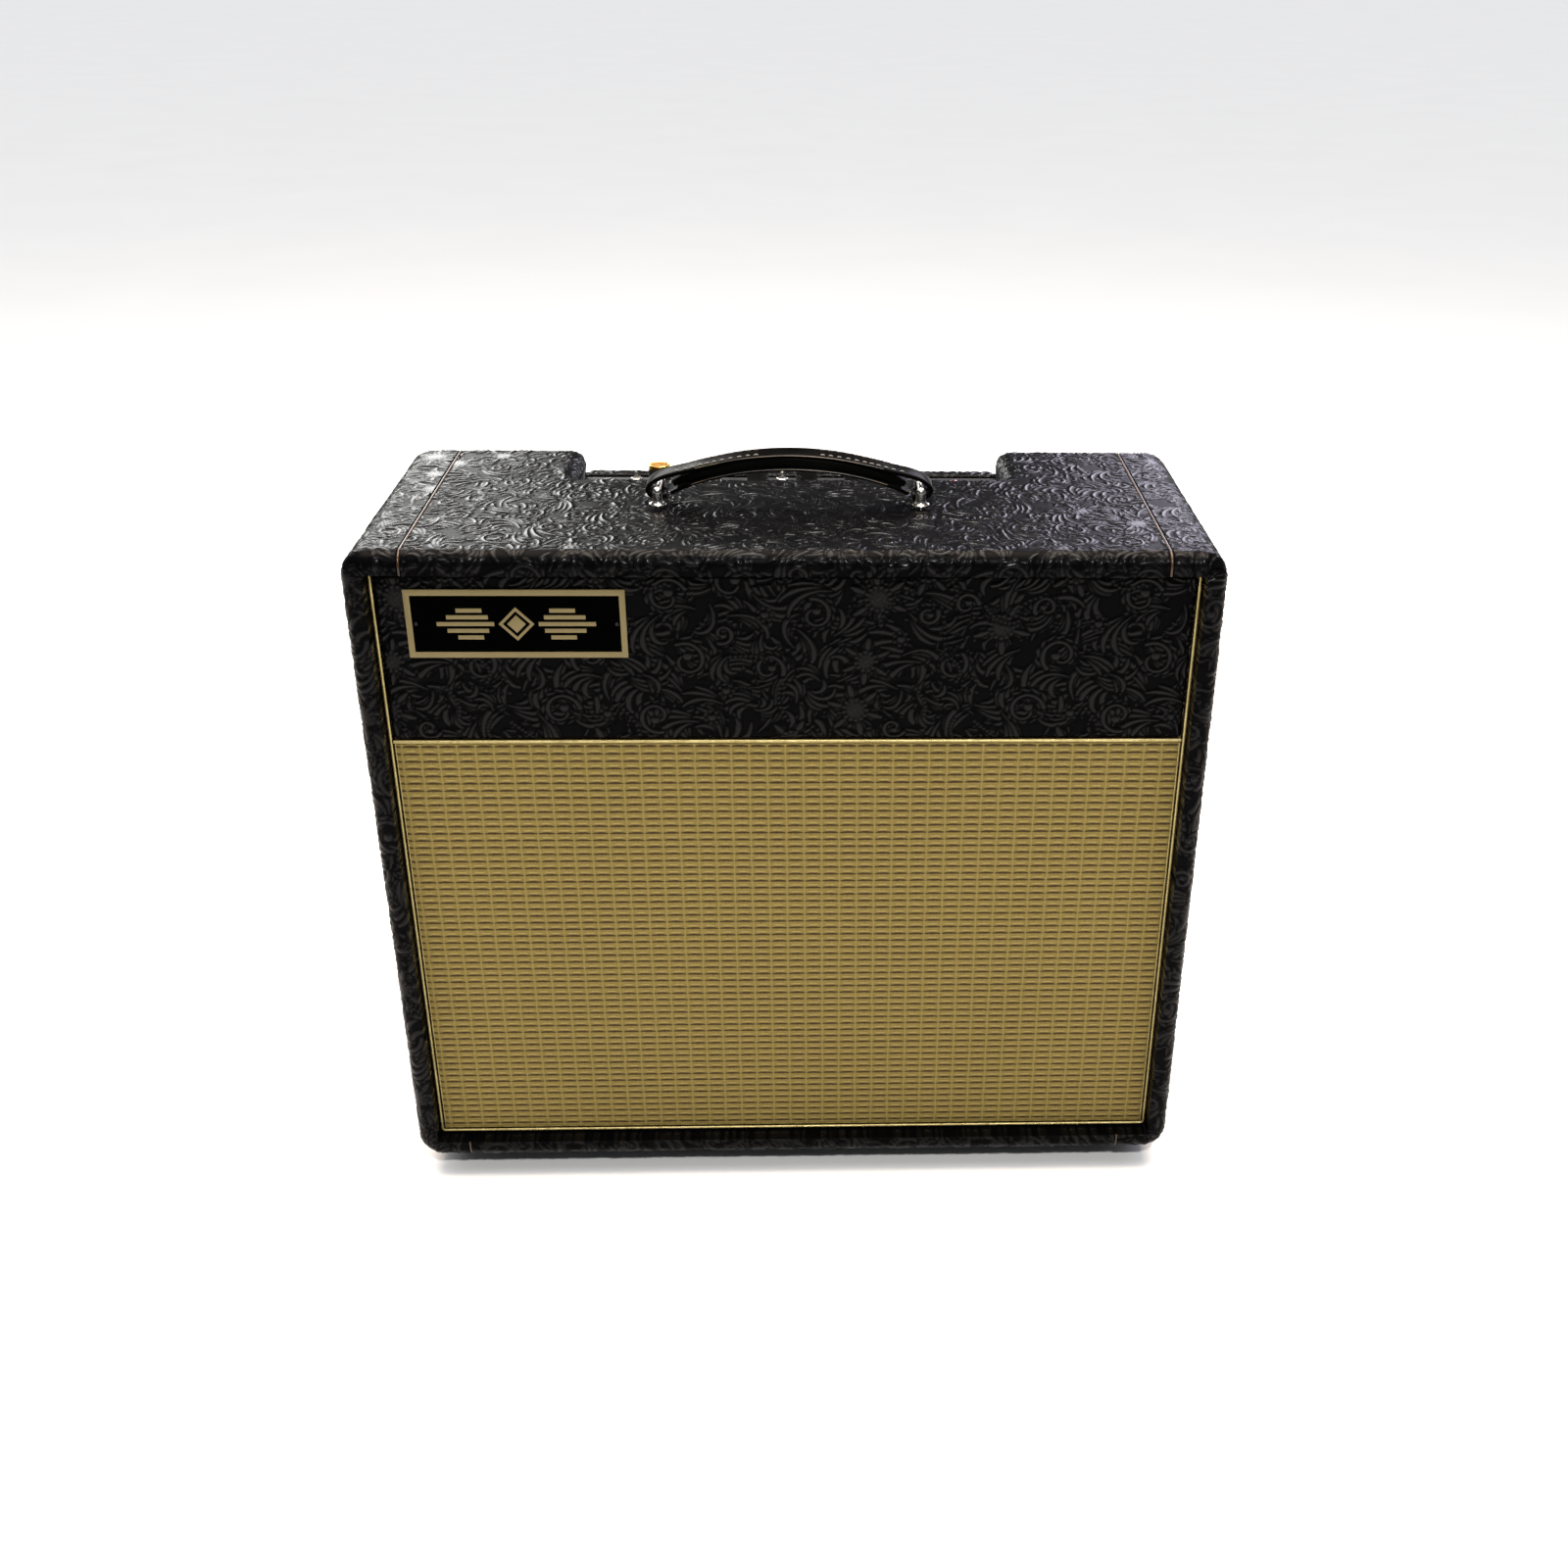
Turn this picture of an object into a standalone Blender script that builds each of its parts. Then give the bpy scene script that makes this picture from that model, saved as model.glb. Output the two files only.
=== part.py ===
"""Guitar combo amplifier with one twelve-inch speaker, modelled piece by piece.

Frame: origin on the floor under the middle of the cabinet, +X to the right of a
person facing the grille, -Y out of the grille, +Z up.  Units are metres.
"""

import math

import bmesh
import bpy
from mathutils import Matrix, Vector

MM = 0.001
GAP = 0.3 * MM

# Cabinet
CAB_WIDTH = 616 * MM
CAB_DEPTH = 261 * MM
CAB_HEIGHT = 518.6 * MM
FOOT_HEIGHT = 20 * MM
SIDE_BOARD = 16.3 * MM
FLAT_BOARD = 17 * MM
CORNER_RADIUS = 20 * MM
EDGE_RADIUS = 11 * MM
FRONT_RECESS = 13.7 * MM

# Opening in the rear of the top board, over the control panel
NOTCH_HALF_WIDTH = 166 * MM
NOTCH_DEPTH = 86 * MM
NOTCH_MOUTH_RADIUS = 12 * MM
NOTCH_INNER_RADIUS = 6 * MM
NOTCH_FRONT_ROUNDING = 2 * MM

# Front panels and trim
PIPING_RADIUS = 1.6 * MM
DIVIDER_ABOVE_CAB_BASE = 371.1 * MM
CLOTH_THICKNESS = 1 * MM
BAFFLE_FRONT_Y = -99 * MM
BAFFLE_THICKNESS = 15 * MM
FRAME_BAR = 24 * MM
INLAY_X = 266 * MM
INLAY_GROOVE_WIDTH = 3 * MM
INLAY_GROOVE_DEPTH = 1.6 * MM
INLAY_WIDTH = 2.4 * MM
NAMEPLATE_WIDTH = 153.6 * MM
NAMEPLATE_HEIGHT = 50.5 * MM
NAMEPLATE_THICKNESS = 2 * MM
NAMEPLATE_BORDER = 4.3 * MM
NAMEPLATE_X = -191.2 * MM
NAMEPLATE_ABOVE_CAB_BASE = 462.9 * MM

# Back panels
BACK_PANEL_FRONT_Y = 113.5 * MM
BACK_PANEL_THICKNESS = 12 * MM
PANEL_TOP = 520.5 * MM
UPPER_PANEL_BASE = 382 * MM
LOWER_PANEL_TOP = 200 * MM
JACK_WINDOW_HALF_WIDTH = 110 * MM
JACK_WINDOW_BASE = 464 * MM
JACK_WINDOW_TOP = 510 * MM

# Chassis
CHASSIS_HALF_WIDTH = 175 * MM
CHASSIS_FRONT_Y = 0.0
CHASSIS_REAR_Y = 108 * MM
CHASSIS_HEIGHT = 63.5 * MM
CHASSIS_SHEET = 2 * MM
FLANGE_WIDTH = 18 * MM
CONTROL_PLATE_HALF_WIDTH = 152 * MM
CONTROL_PLATE_FRONT_Y = 58 * MM
CONTROL_PLATE_REAR_Y = 99 * MM
CONTROL_PLATE_THICKNESS = 0.8 * MM

# Controls, all in one row on the control plate
CONTROL_ROW_Y = 85.6 * MM
KNOB_NAMES = ("presence", "bass", "middle", "treble", "volume")
FIRST_KNOB_X = -104.3 * MM
KNOB_SPACING = 38.8 * MM
KNOB_RADIUS = 10 * MM
KNOB_CAP_RADIUS = 8.5 * MM
KNOB_TOP = 538 * MM
TOGGLE_X = {"bright": -122.8 * MM, "voicing": -7.3 * MM}
TOGGLE_PIVOT_Z = 523.5 * MM
ROCKER_X = {"power": 80 * MM, "standby": 104 * MM}
ROCKER_PIVOT_Z = 521.5 * MM
ROCKER_TILT = math.radians(9)
LAMP_X = 130 * MM
INPUT_JACK_X = -145 * MM

# Rear connections, on the chassis's rear wall
REAR_ROW_Z = 487 * MM
SPEAKER_JACK_X = -60 * MM
INLET_X = 60 * MM

# Valves and transformers, under the chassis
VALVE_ROW_Y = 60 * MM
PREAMP_VALVE_X = (-150 * MM, -112 * MM, -74 * MM)
POWER_VALVE_X = (-30 * MM, 20 * MM)

# Speaker
SPEAKER_Z = 213 * MM
SPEAKER_RADIUS = 154.5 * MM
SPEAKER_HOLE_RADIUS = 141.5 * MM
SPEAKER_FRONT_Y = BAFFLE_FRONT_Y + BAFFLE_THICKNESS + GAP
CONE_RADIUS = 138 * MM

# Handle
HANDLE_Y = -13 * MM
STRAP_WIDTH = 22 * MM
HANDLE_POST_SPACING = 30.6 * MM
HANDLE_BAR_X = 96.5 * MM
HANDLE_BAR_Z = 550 * MM
HANDLE_BAR_RADIUS = 2 * MM
POST_TOP = 554.2 * MM

# Feet
FOOT_RADIUS = 19 * MM
FOOT_X = 262 * MM
FRONT_FOOT_Y = -76 * MM
REAR_FOOT_Y = 92 * MM

# Values worked out from the ones above
CAB_HALF_WIDTH = CAB_WIDTH / 2
CAB_HALF_DEPTH = CAB_DEPTH / 2
CAB_BASE = FOOT_HEIGHT
CAB_TOP = CAB_BASE + CAB_HEIGHT
INNER_HALF_WIDTH = CAB_HALF_WIDTH - SIDE_BOARD
INNER_BASE = CAB_BASE + FLAT_BOARD
INNER_TOP = CAB_TOP - FLAT_BOARD
FRONT_PANEL_Y = -CAB_HALF_DEPTH + FRONT_RECESS
DIVIDER_Z = CAB_BASE + DIVIDER_ABOVE_CAB_BASE
BEAD_INSET = GAP + PIPING_RADIUS
PANEL_INSET = 2 * BEAD_INSET
FRONT_PANEL_HALF_WIDTH = INNER_HALF_WIDTH - PANEL_INSET
NOTCH_FRONT_Y = CAB_HALF_DEPTH - NOTCH_DEPTH
CHASSIS_BASE = PANEL_TOP - CHASSIS_HEIGHT
PLATE_BASE = PANEL_TOP + GAP
PLATE_TOP = PLATE_BASE + CONTROL_PLATE_THICKNESS
KNOB_X = [FIRST_KNOB_X + index * KNOB_SPACING for index in range(len(KNOB_NAMES))]
BASE_PLATE_TOP = CHASSIS_BASE
BASE_PLATE_BASE = CHASSIS_BASE - CHASSIS_SHEET

COLLECTION_NAME = "guitar_combo_amplifier"


def clear_scene():
    for obj in list(bpy.data.objects):
        bpy.data.objects.remove(obj, do_unlink=True)


def make_collection(name):
    collection = bpy.data.collections.new(name)
    bpy.context.scene.collection.children.link(collection)
    return collection


def make_material(name, colour, roughness, metallic=0.0):
    material = bpy.data.materials.new(name)
    material.use_nodes = True
    shader = material.node_tree.nodes["Principled BSDF"]
    shader.inputs["Base Color"].default_value = (*colour, 1.0)
    shader.inputs["Roughness"].default_value = roughness
    shader.inputs["Metallic"].default_value = metallic
    material.diffuse_color = (*colour, 1.0)
    return material


clear_scene()
PARTS = make_collection(COLLECTION_NAME)
CUTTERS = make_collection(COLLECTION_NAME + "_cutters")

TOOLED_VINYL = make_material("tooled_vinyl", (0.012, 0.012, 0.014), 0.38)
GRILLE_CLOTH = make_material("grille_cloth", (0.48, 0.36, 0.11), 0.85)
GOLD_PIPING = make_material("gold_piping", (0.72, 0.52, 0.14), 0.35, 0.6)
BARE_PLY = make_material("bare_ply", (0.35, 0.22, 0.11), 0.7)
BLACK_LEATHER = make_material("black_leather", (0.01, 0.01, 0.011), 0.4)
CHROME = make_material("chrome", (0.8, 0.8, 0.8), 0.1, 1.0)
NAMEPLATE_METAL = make_material("nameplate_metal", (0.6, 0.43, 0.16), 0.35, 0.8)
PANEL_BLACK = make_material("panel_black", (0.02, 0.02, 0.021), 0.4)
KNOB_PLASTIC = make_material("knob_plastic", (0.01, 0.01, 0.01), 0.3)
CHASSIS_STEEL = make_material("chassis_steel", (0.5, 0.5, 0.5), 0.35, 1.0)
BLACK_STEEL = make_material("black_steel", (0.02, 0.02, 0.02), 0.5, 0.6)
BOARD_LAMINATE = make_material("board_laminate", (0.18, 0.11, 0.03), 0.6)
BLACK_RUBBER = make_material("black_rubber", (0.015, 0.015, 0.015), 0.8)
VALVE_GLASS = make_material("valve_glass", (0.8, 0.85, 0.85), 0.05)
CONE_PAPER = make_material("cone_paper", (0.05, 0.045, 0.04), 0.9)
LAMP_LENS = make_material("lamp_lens", (0.5, 0.02, 0.01), 0.15)


def link_part(obj, material):
    obj.data.materials.clear()
    obj.data.materials.append(material)
    PARTS.objects.link(obj)
    return obj


def link_cutter(obj):
    obj.hide_render = True
    obj.display_type = "WIRE"
    CUTTERS.objects.link(obj)
    return obj


def boolean(obj, other, operation="DIFFERENCE"):
    modifier = obj.modifiers.new(operation.lower(), "BOOLEAN")
    modifier.operation = operation
    modifier.solver = "EXACT"
    modifier.object = other


def mesh_from(name, form):
    bmesh.ops.recalc_face_normals(form, faces=form.faces)
    mesh = bpy.data.meshes.new(name)
    form.to_mesh(mesh)
    form.free()
    return mesh


def add_cuboid(form, low, high):
    """Add a box between two corners to a bmesh."""
    size = Vector(high) - Vector(low)
    middle = (Vector(high) + Vector(low)) / 2
    matrix = Matrix.Translation(middle) @ Matrix.Diagonal((*size, 1.0))
    bmesh.ops.create_cube(form, size=1.0, matrix=matrix)


def add_cylinder(form, centre, radius, length, segments, axis="Z"):
    """Add a capped cylinder, centred on a point and lying along an axis, to a bmesh."""
    turn = {
        "Z": Matrix.Identity(4),
        "Y": Matrix.Rotation(math.radians(-90), 4, "X"),
        "X": Matrix.Rotation(math.radians(90), 4, "Y"),
    }[axis]
    bmesh.ops.create_cone(
        form,
        cap_ends=True,
        segments=segments,
        radius1=radius,
        radius2=radius,
        depth=length,
        matrix=Matrix.Translation(centre) @ turn,
    )


def cuboid_object(name, low, high):
    form = bmesh.new()
    add_cuboid(form, low, high)
    return bpy.data.objects.new(name, mesh_from(name, form))


def cuboid_part(name, low, high, material, bevel=0.0):
    obj = link_part(cuboid_object(name, low, high), material)
    if bevel:
        add_bevel(obj, bevel)
    return obj


def add_bevel(obj, width, segments=1):
    modifier = obj.modifiers.new("bevel", "BEVEL")
    modifier.width = width
    modifier.segments = segments
    modifier.limit_method = "ANGLE"
    modifier.angle_limit = math.radians(50)


def turned_object(name, profile, steps, origin, axis="Z", closed=False):
    """A turned shape: (radius, height) points, down the outer side from the top."""
    points = [(radius, 0.0, height) for radius, height in profile]
    edges = [(index, index + 1) for index in range(len(points) - 1)]
    if closed:
        edges.append((len(points) - 1, 0))
    mesh = bpy.data.meshes.new(name)
    mesh.from_pydata(points, edges, [])
    obj = bpy.data.objects.new(name, mesh)
    obj.location = origin
    if axis == "Y":
        obj.rotation_euler = (math.radians(-90), 0.0, 0.0)
    modifier = obj.modifiers.new("screw", "SCREW")
    modifier.steps = steps
    modifier.render_steps = steps
    modifier.use_merge_vertices = True
    modifier.merge_threshold = 0.00001
    modifier.use_smooth_shade = True
    return obj


def turned_part(name, profile, steps, origin, material, axis="Z", closed=False):
    return link_part(turned_object(name, profile, steps, origin, axis, closed), material)


def arc(centre, radius, start, end, steps):
    """Points of an arc in a plane, angles in degrees, both ends included."""
    points = []
    for index in range(steps + 1):
        angle = math.radians(start + (end - start) * index / steps)
        points.append((centre[0] + radius * math.cos(angle), centre[1] + radius * math.sin(angle)))
    return points


def flat_outline_object(name, outlines, thickness):
    """A flat shape in the local XY plane, centred on it; inner outlines are holes."""
    curve = bpy.data.curves.new(name, "CURVE")
    curve.dimensions = "2D"
    curve.fill_mode = "BOTH"
    curve.extrude = thickness / 2
    for outline in outlines:
        spline = curve.splines.new("POLY")
        spline.points.add(len(outline) - 1)
        for point, place in zip(spline.points, outline):
            point.co = (place[0], place[1], 0.0, 1.0)
        spline.use_cyclic_u = True
    return bpy.data.objects.new(name, curve)


def tube_object(name, points, radius, cyclic=False, resolution=2):
    """A round bead or cable along a list of points."""
    curve = bpy.data.curves.new(name, "CURVE")
    curve.dimensions = "3D"
    curve.bevel_depth = radius
    curve.bevel_resolution = resolution
    curve.use_fill_caps = True
    spline = curve.splines.new("POLY")
    spline.points.add(len(points) - 1)
    for point, place in zip(spline.points, points):
        point.co = (*place, 1.0)
    spline.use_cyclic_u = cyclic
    return bpy.data.objects.new(name, curve)


def smooth_route(points, steps, closed=False):
    """Points along a Catmull-Rom curve through the given points."""
    count = len(points)
    places = [Vector(point) for point in points]
    spans = count if closed else count - 1
    route = []
    for span in range(spans):
        if closed:
            before, here, there, after = (places[(span + shift) % count] for shift in (-1, 0, 1, 2))
        else:
            here, there = places[span], places[span + 1]
            before = places[span - 1] if span else here * 2 - there
            after = places[span + 2] if span + 2 < count else there * 2 - here
        for index in range(steps):
            t = index / steps
            route.append(
                0.5
                * (
                    2 * here
                    + (there - before) * t
                    + (2 * before - 5 * here + 4 * there - after) * t**2
                    + (3 * here - before - 3 * there + after) * t**3
                )
            )
    if not closed:
        route.append(places[-1])
    return route


def notch_outline(inset):
    """The notch's plan: straight sides, rounded inner corners and a flared mouth."""
    half = NOTCH_HALF_WIDTH + inset
    front = NOTCH_FRONT_Y - inset
    rear = CAB_HALF_DEPTH - inset
    inner = NOTCH_INNER_RADIUS + inset
    mouth = NOTCH_MOUTH_RADIUS - inset
    beyond = CAB_HALF_DEPTH + 10 * MM
    right = arc((half - inner, front + inner), inner, -90, 0, 3)
    right += arc((half + mouth, rear - mouth), mouth, 180, 90, 6)
    right.append((half + mouth, beyond))
    left = [(-x, y) for x, y in reversed(right)]
    return right + left


def notch_cutter(name, inset):
    """The notch as a prism, reaching from inside the cabinet to above its top."""
    form = bmesh.new()
    low = PANEL_TOP - 30 * MM
    corners = [form.verts.new((x, y, low)) for x, y in notch_outline(inset)]
    floor = form.faces.new(corners)
    risen = bmesh.ops.extrude_face_region(form, geom=[floor])["geom"]
    rise = CAB_TOP + 20 * MM - low
    bmesh.ops.translate(
        form, verts=[item for item in risen if isinstance(item, bmesh.types.BMVert)], vec=(0, 0, rise)
    )
    return link_cutter(bpy.data.objects.new(name, mesh_from(name, form)))


def evaluated_mesh(obj):
    bpy.context.view_layer.update()
    depsgraph = bpy.context.evaluated_depsgraph_get()
    return bpy.data.meshes.new_from_object(obj.evaluated_get(depsgraph))


def notch_lip(name, inset):
    """A bar that gives the notch's front edge its small rounding instead of the large one."""
    form = bmesh.new()
    rear = NOTCH_FRONT_Y - inset
    high = CAB_TOP - inset
    reach = NOTCH_HALF_WIDTH + inset + 2 * MM
    add_cuboid(form, (-reach, rear - 20 * MM, INNER_TOP - 2 * MM), (reach, rear, high))
    edges = [
        e for e in form.edges if all(abs(v.co.y - rear) + abs(v.co.z - high) < 0.00005 for v in e.verts)
    ]
    rounding = NOTCH_FRONT_ROUNDING - inset / 2
    bmesh.ops.bevel(form, geom=edges, offset=rounding, segments=2, profile=0.5, affect="EDGES")
    return link_cutter(bpy.data.objects.new(name, mesh_from(name, form)))


def cabinet_block(name, inset):
    """The cabinet's outer form with its notch, shrunk on every side by inset."""
    half_width = CAB_HALF_WIDTH - inset
    half_depth = CAB_HALF_DEPTH - inset
    low = CAB_BASE + inset
    high = CAB_TOP - inset
    form = bmesh.new()
    add_cuboid(form, (-half_width, -half_depth, low), (half_width, half_depth, high))
    along_y = [e for e in form.edges if abs(e.verts[0].co.y - e.verts[1].co.y) > half_depth]
    bmesh.ops.bevel(
        form, geom=along_y, offset=CORNER_RADIUS - inset, segments=6, profile=0.5, affect="EDGES"
    )
    plain = link_cutter(bpy.data.objects.new(name + "_plain", mesh_from(name + "_plain", form)))
    boolean(plain, notch_cutter(name + "_notch", inset))
    mesh = evaluated_mesh(plain)
    form = bmesh.new()
    form.from_mesh(mesh)
    bmesh.ops.remove_doubles(form, verts=form.verts, dist=0.00001)
    near = 0.00005

    def rounded(edge):
        """The front and rear outlines and the notch's upper edge are rounded over."""
        a, b = (vertex.co for vertex in edge.verts)
        if abs(a.y + half_depth) < near and abs(b.y + half_depth) < near:
            return True
        if abs(a.y - half_depth) < near and abs(b.y - half_depth) < near:
            upright = abs(a.x - b.x) < near and abs(a.x) < half_width - near
            floor = abs(a.z - b.z) < near and a.z < high - near and a.z > low + near
            return not upright and not (floor and abs(a.x) < NOTCH_HALF_WIDTH + CORNER_RADIUS)
        on_top = abs(a.z - high) < near and abs(b.z - high) < near
        in_notch = max(abs(a.x), abs(b.x)) < NOTCH_HALF_WIDTH + NOTCH_MOUTH_RADIUS + near
        return on_top and in_notch and min(a.y, b.y) > NOTCH_FRONT_Y - inset - near

    chosen = [edge for edge in form.edges if rounded(edge)]
    bmesh.ops.bevel(
        form, geom=chosen, offset=EDGE_RADIUS - inset, segments=4, profile=0.5, affect="EDGES"
    )
    block = link_cutter(bpy.data.objects.new(name, mesh_from(name, form)))
    boolean(block, notch_lip(name + "_lip", inset), "UNION")
    return block


def board_from(block, name, low, high):
    """One vinyl-covered board: the part of the cabinet's form between two corners."""
    obj = link_part(cuboid_object(name, low, high), TOOLED_VINYL)
    boolean(obj, block, "INTERSECT")
    return obj


def inlay_slab(name, side, width):
    """A thin upright slab round one inlay, over the top board and its front edge."""
    middle = side * INLAY_X
    reach = CAB_HALF_DEPTH + 5 * MM
    low = (middle - width / 2, -reach, INNER_TOP - 2 * MM)
    high = (middle + width / 2, reach, CAB_TOP + 5 * MM)
    return cuboid_object(name, low, high)


def build_cabinet():
    outer = cabinet_block("cabinet_form", 0.0)
    groove_floor = cabinet_block("groove_floor_form", INLAY_GROOVE_DEPTH)
    inlay_face = cabinet_block("inlay_face_form", 0.2 * MM)
    inlay_back = cabinet_block("inlay_back_form", INLAY_GROOVE_DEPTH - GAP)
    wide = CAB_HALF_WIDTH + 5 * MM
    deep = CAB_HALF_DEPTH + 5 * MM
    inner = INNER_HALF_WIDTH - GAP
    under = CAB_BASE - 5 * MM
    over = CAB_TOP + 5 * MM
    top = board_from(outer, "top_board", (-inner, -deep, INNER_TOP), (inner, deep, over))
    board_from(outer, "bottom_board", (-inner, -deep, under), (inner, deep, INNER_BASE))
    board_from(outer, "right_side_board", (INNER_HALF_WIDTH, -deep, under), (wide, deep, over))
    board_from(outer, "left_side_board", (-wide, -deep, under), (-INNER_HALF_WIDTH, deep, over))
    for side, label in ((-1, "left"), (1, "right")):
        groove = link_cutter(inlay_slab(label + "_groove", side, INLAY_GROOVE_WIDTH))
        boolean(groove, groove_floor)
        boolean(top, groove)
        inlay = link_part(inlay_slab(label + "_inlay_piping", side, INLAY_WIDTH), GOLD_PIPING)
        boolean(inlay, inlay_face, "INTERSECT")
        boolean(inlay, inlay_back)
        keep = link_cutter(
            cuboid_object(
                label + "_inlay_keep",
                (side * INLAY_X - 5 * MM, -deep, INNER_TOP + GAP),
                (side * INLAY_X + 5 * MM, deep, over),
            )
        )
        boolean(inlay, keep, "INTERSECT")


def build_back_panels():
    side = INNER_HALF_WIDTH - GAP
    rear = BACK_PANEL_FRONT_Y + BACK_PANEL_THICKNESS
    upper = cuboid_part(
        "upper_back_panel",
        (-side, BACK_PANEL_FRONT_Y, UPPER_PANEL_BASE),
        (side, rear, PANEL_TOP),
        TOOLED_VINYL,
        bevel=3 * MM,
    )
    window = link_cutter(
        cuboid_object(
            "jack_window",
            (-JACK_WINDOW_HALF_WIDTH, BACK_PANEL_FRONT_Y - 5 * MM, JACK_WINDOW_BASE),
            (JACK_WINDOW_HALF_WIDTH, rear + 5 * MM, JACK_WINDOW_TOP),
        )
    )
    boolean(upper, window)
    cuboid_part(
        "lower_back_panel",
        (-side, BACK_PANEL_FRONT_Y, INNER_BASE + GAP),
        (side, rear, LOWER_PANEL_TOP),
        TOOLED_VINYL,
        bevel=3 * MM,
    )


def build_front():
    side = INNER_HALF_WIDTH - GAP
    baffle_rear = BAFFLE_FRONT_Y + BAFFLE_THICKNESS
    baffle = cuboid_part(
        "baffle_board",
        (-side, BAFFLE_FRONT_Y, INNER_BASE + GAP),
        (side, baffle_rear, INNER_TOP - GAP),
        BARE_PLY,
    )
    form = bmesh.new()
    add_cylinder(
        form,
        (0, BAFFLE_FRONT_Y + BAFFLE_THICKNESS / 2, SPEAKER_Z),
        SPEAKER_HOLE_RADIUS,
        BAFFLE_THICKNESS * 2,
        32,
        "Y",
    )
    hole = link_cutter(bpy.data.objects.new("speaker_hole", mesh_from("speaker_hole", form)))
    boolean(baffle, hole)

    panel_rear = BAFFLE_FRONT_Y - GAP
    width = FRONT_PANEL_HALF_WIDTH
    grille_base = INNER_BASE + PANEL_INSET
    grille_top = DIVIDER_Z - BEAD_INSET
    fascia_base = DIVIDER_Z + BEAD_INSET
    fascia_top = INNER_TOP - PANEL_INSET
    cuboid_part(
        "fascia_board",
        (-width, FRONT_PANEL_Y, fascia_base),
        (width, panel_rear, fascia_top),
        TOOLED_VINYL,
    )
    frame_front = FRONT_PANEL_Y + CLOTH_THICKNESS + GAP
    frame = cuboid_part(
        "grille_frame", (-width, frame_front, grille_base), (width, panel_rear, grille_top), BARE_PLY
    )
    middle = link_cutter(
        cuboid_object(
            "grille_frame_hole",
            (-width + FRAME_BAR, frame_front - 5 * MM, grille_base + FRAME_BAR),
            (width - FRAME_BAR, panel_rear + 5 * MM, grille_top - FRAME_BAR),
        )
    )
    boolean(frame, middle)
    cuboid_part(
        "grille_cloth",
        (-width, FRONT_PANEL_Y, grille_base),
        (width, FRONT_PANEL_Y + CLOTH_THICKNESS, grille_top),
        GRILLE_CLOTH,
    )


def build_piping():
    """The gold bead round the front opening, and the one under the fascia."""
    side = INNER_HALF_WIDTH - BEAD_INSET
    low = INNER_BASE + BEAD_INSET
    high = INNER_TOP - BEAD_INSET
    turn = 2.2 * MM
    corners = (
        ((side - turn, low + turn), -90),
        ((side - turn, high - turn), 0),
        ((-side + turn, high - turn), 90),
        ((-side + turn, low + turn), 180),
    )
    outline = []
    for centre, start in corners:
        outline += arc(centre, turn, start, start + 90, 3)
    points = [(x, FRONT_PANEL_Y, z) for x, z in outline]
    link_part(tube_object("front_piping", points, PIPING_RADIUS, cyclic=True), GOLD_PIPING)
    reach = FRONT_PANEL_HALF_WIDTH
    ends = [(-reach, FRONT_PANEL_Y, DIVIDER_Z), (reach, FRONT_PANEL_Y, DIVIDER_Z)]
    link_part(tube_object("divider_piping", ends, PIPING_RADIUS), GOLD_PIPING)


def build_nameplate():
    rear = FRONT_PANEL_Y - GAP
    front = rear - NAMEPLATE_THICKNESS
    half = (NAMEPLATE_WIDTH / 2, NAMEPLATE_HEIGHT / 2)
    z = CAB_BASE + NAMEPLATE_ABOVE_CAB_BASE
    plate = cuboid_part(
        "nameplate",
        (NAMEPLATE_X - half[0], front, z - half[1]),
        (NAMEPLATE_X + half[0], rear, z + half[1]),
        NAMEPLATE_METAL,
    )
    field = link_cutter(
        cuboid_object(
            "nameplate_field",
            (NAMEPLATE_X - half[0] + NAMEPLATE_BORDER, front - 2 * MM, z - half[1] + NAMEPLATE_BORDER),
            (NAMEPLATE_X + half[0] - NAMEPLATE_BORDER, front + 0.5 * MM, z + half[1] - NAMEPLATE_BORDER),
        )
    )
    boolean(plate, field)


def panel_hole_cutter():
    """Every hole through the chassis's top and the control plate."""
    form = bmesh.new()
    depth = 20 * MM
    round_holes = [(x, 5.1 * MM) for x in KNOB_X]
    round_holes += [(x, 3.4 * MM) for x in TOGGLE_X.values()]
    round_holes += [(LAMP_X, 4.4 * MM), (INPUT_JACK_X, 5.1 * MM)]
    for x, radius in round_holes:
        add_cylinder(form, (x, CONTROL_ROW_Y, PANEL_TOP), radius, depth, 10)
    for x in ROCKER_X.values():
        add_cuboid(
            form,
            (x - 5.8 * MM, CONTROL_ROW_Y - 8.8 * MM, PANEL_TOP - depth / 2),
            (x + 5.8 * MM, CONTROL_ROW_Y + 8.8 * MM, PANEL_TOP + depth / 2),
        )
    return link_cutter(bpy.data.objects.new("panel_holes", mesh_from("panel_holes", form)))


def rear_hole_cutter():
    """The speaker jack's and the mains inlet's holes in the chassis's rear wall."""
    form = bmesh.new()
    add_cylinder(form, (SPEAKER_JACK_X, CHASSIS_REAR_Y, REAR_ROW_Z), 5.1 * MM, 12 * MM, 12, "Y")
    add_cuboid(
        form,
        (INLET_X - 14.5 * MM, CHASSIS_REAR_Y - 6 * MM, REAR_ROW_Z - 10.5 * MM),
        (INLET_X + 14.5 * MM, CHASSIS_REAR_Y + 6 * MM, REAR_ROW_Z + 10.5 * MM),
    )
    return link_cutter(bpy.data.objects.new("rear_holes", mesh_from("rear_holes", form)))


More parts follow.
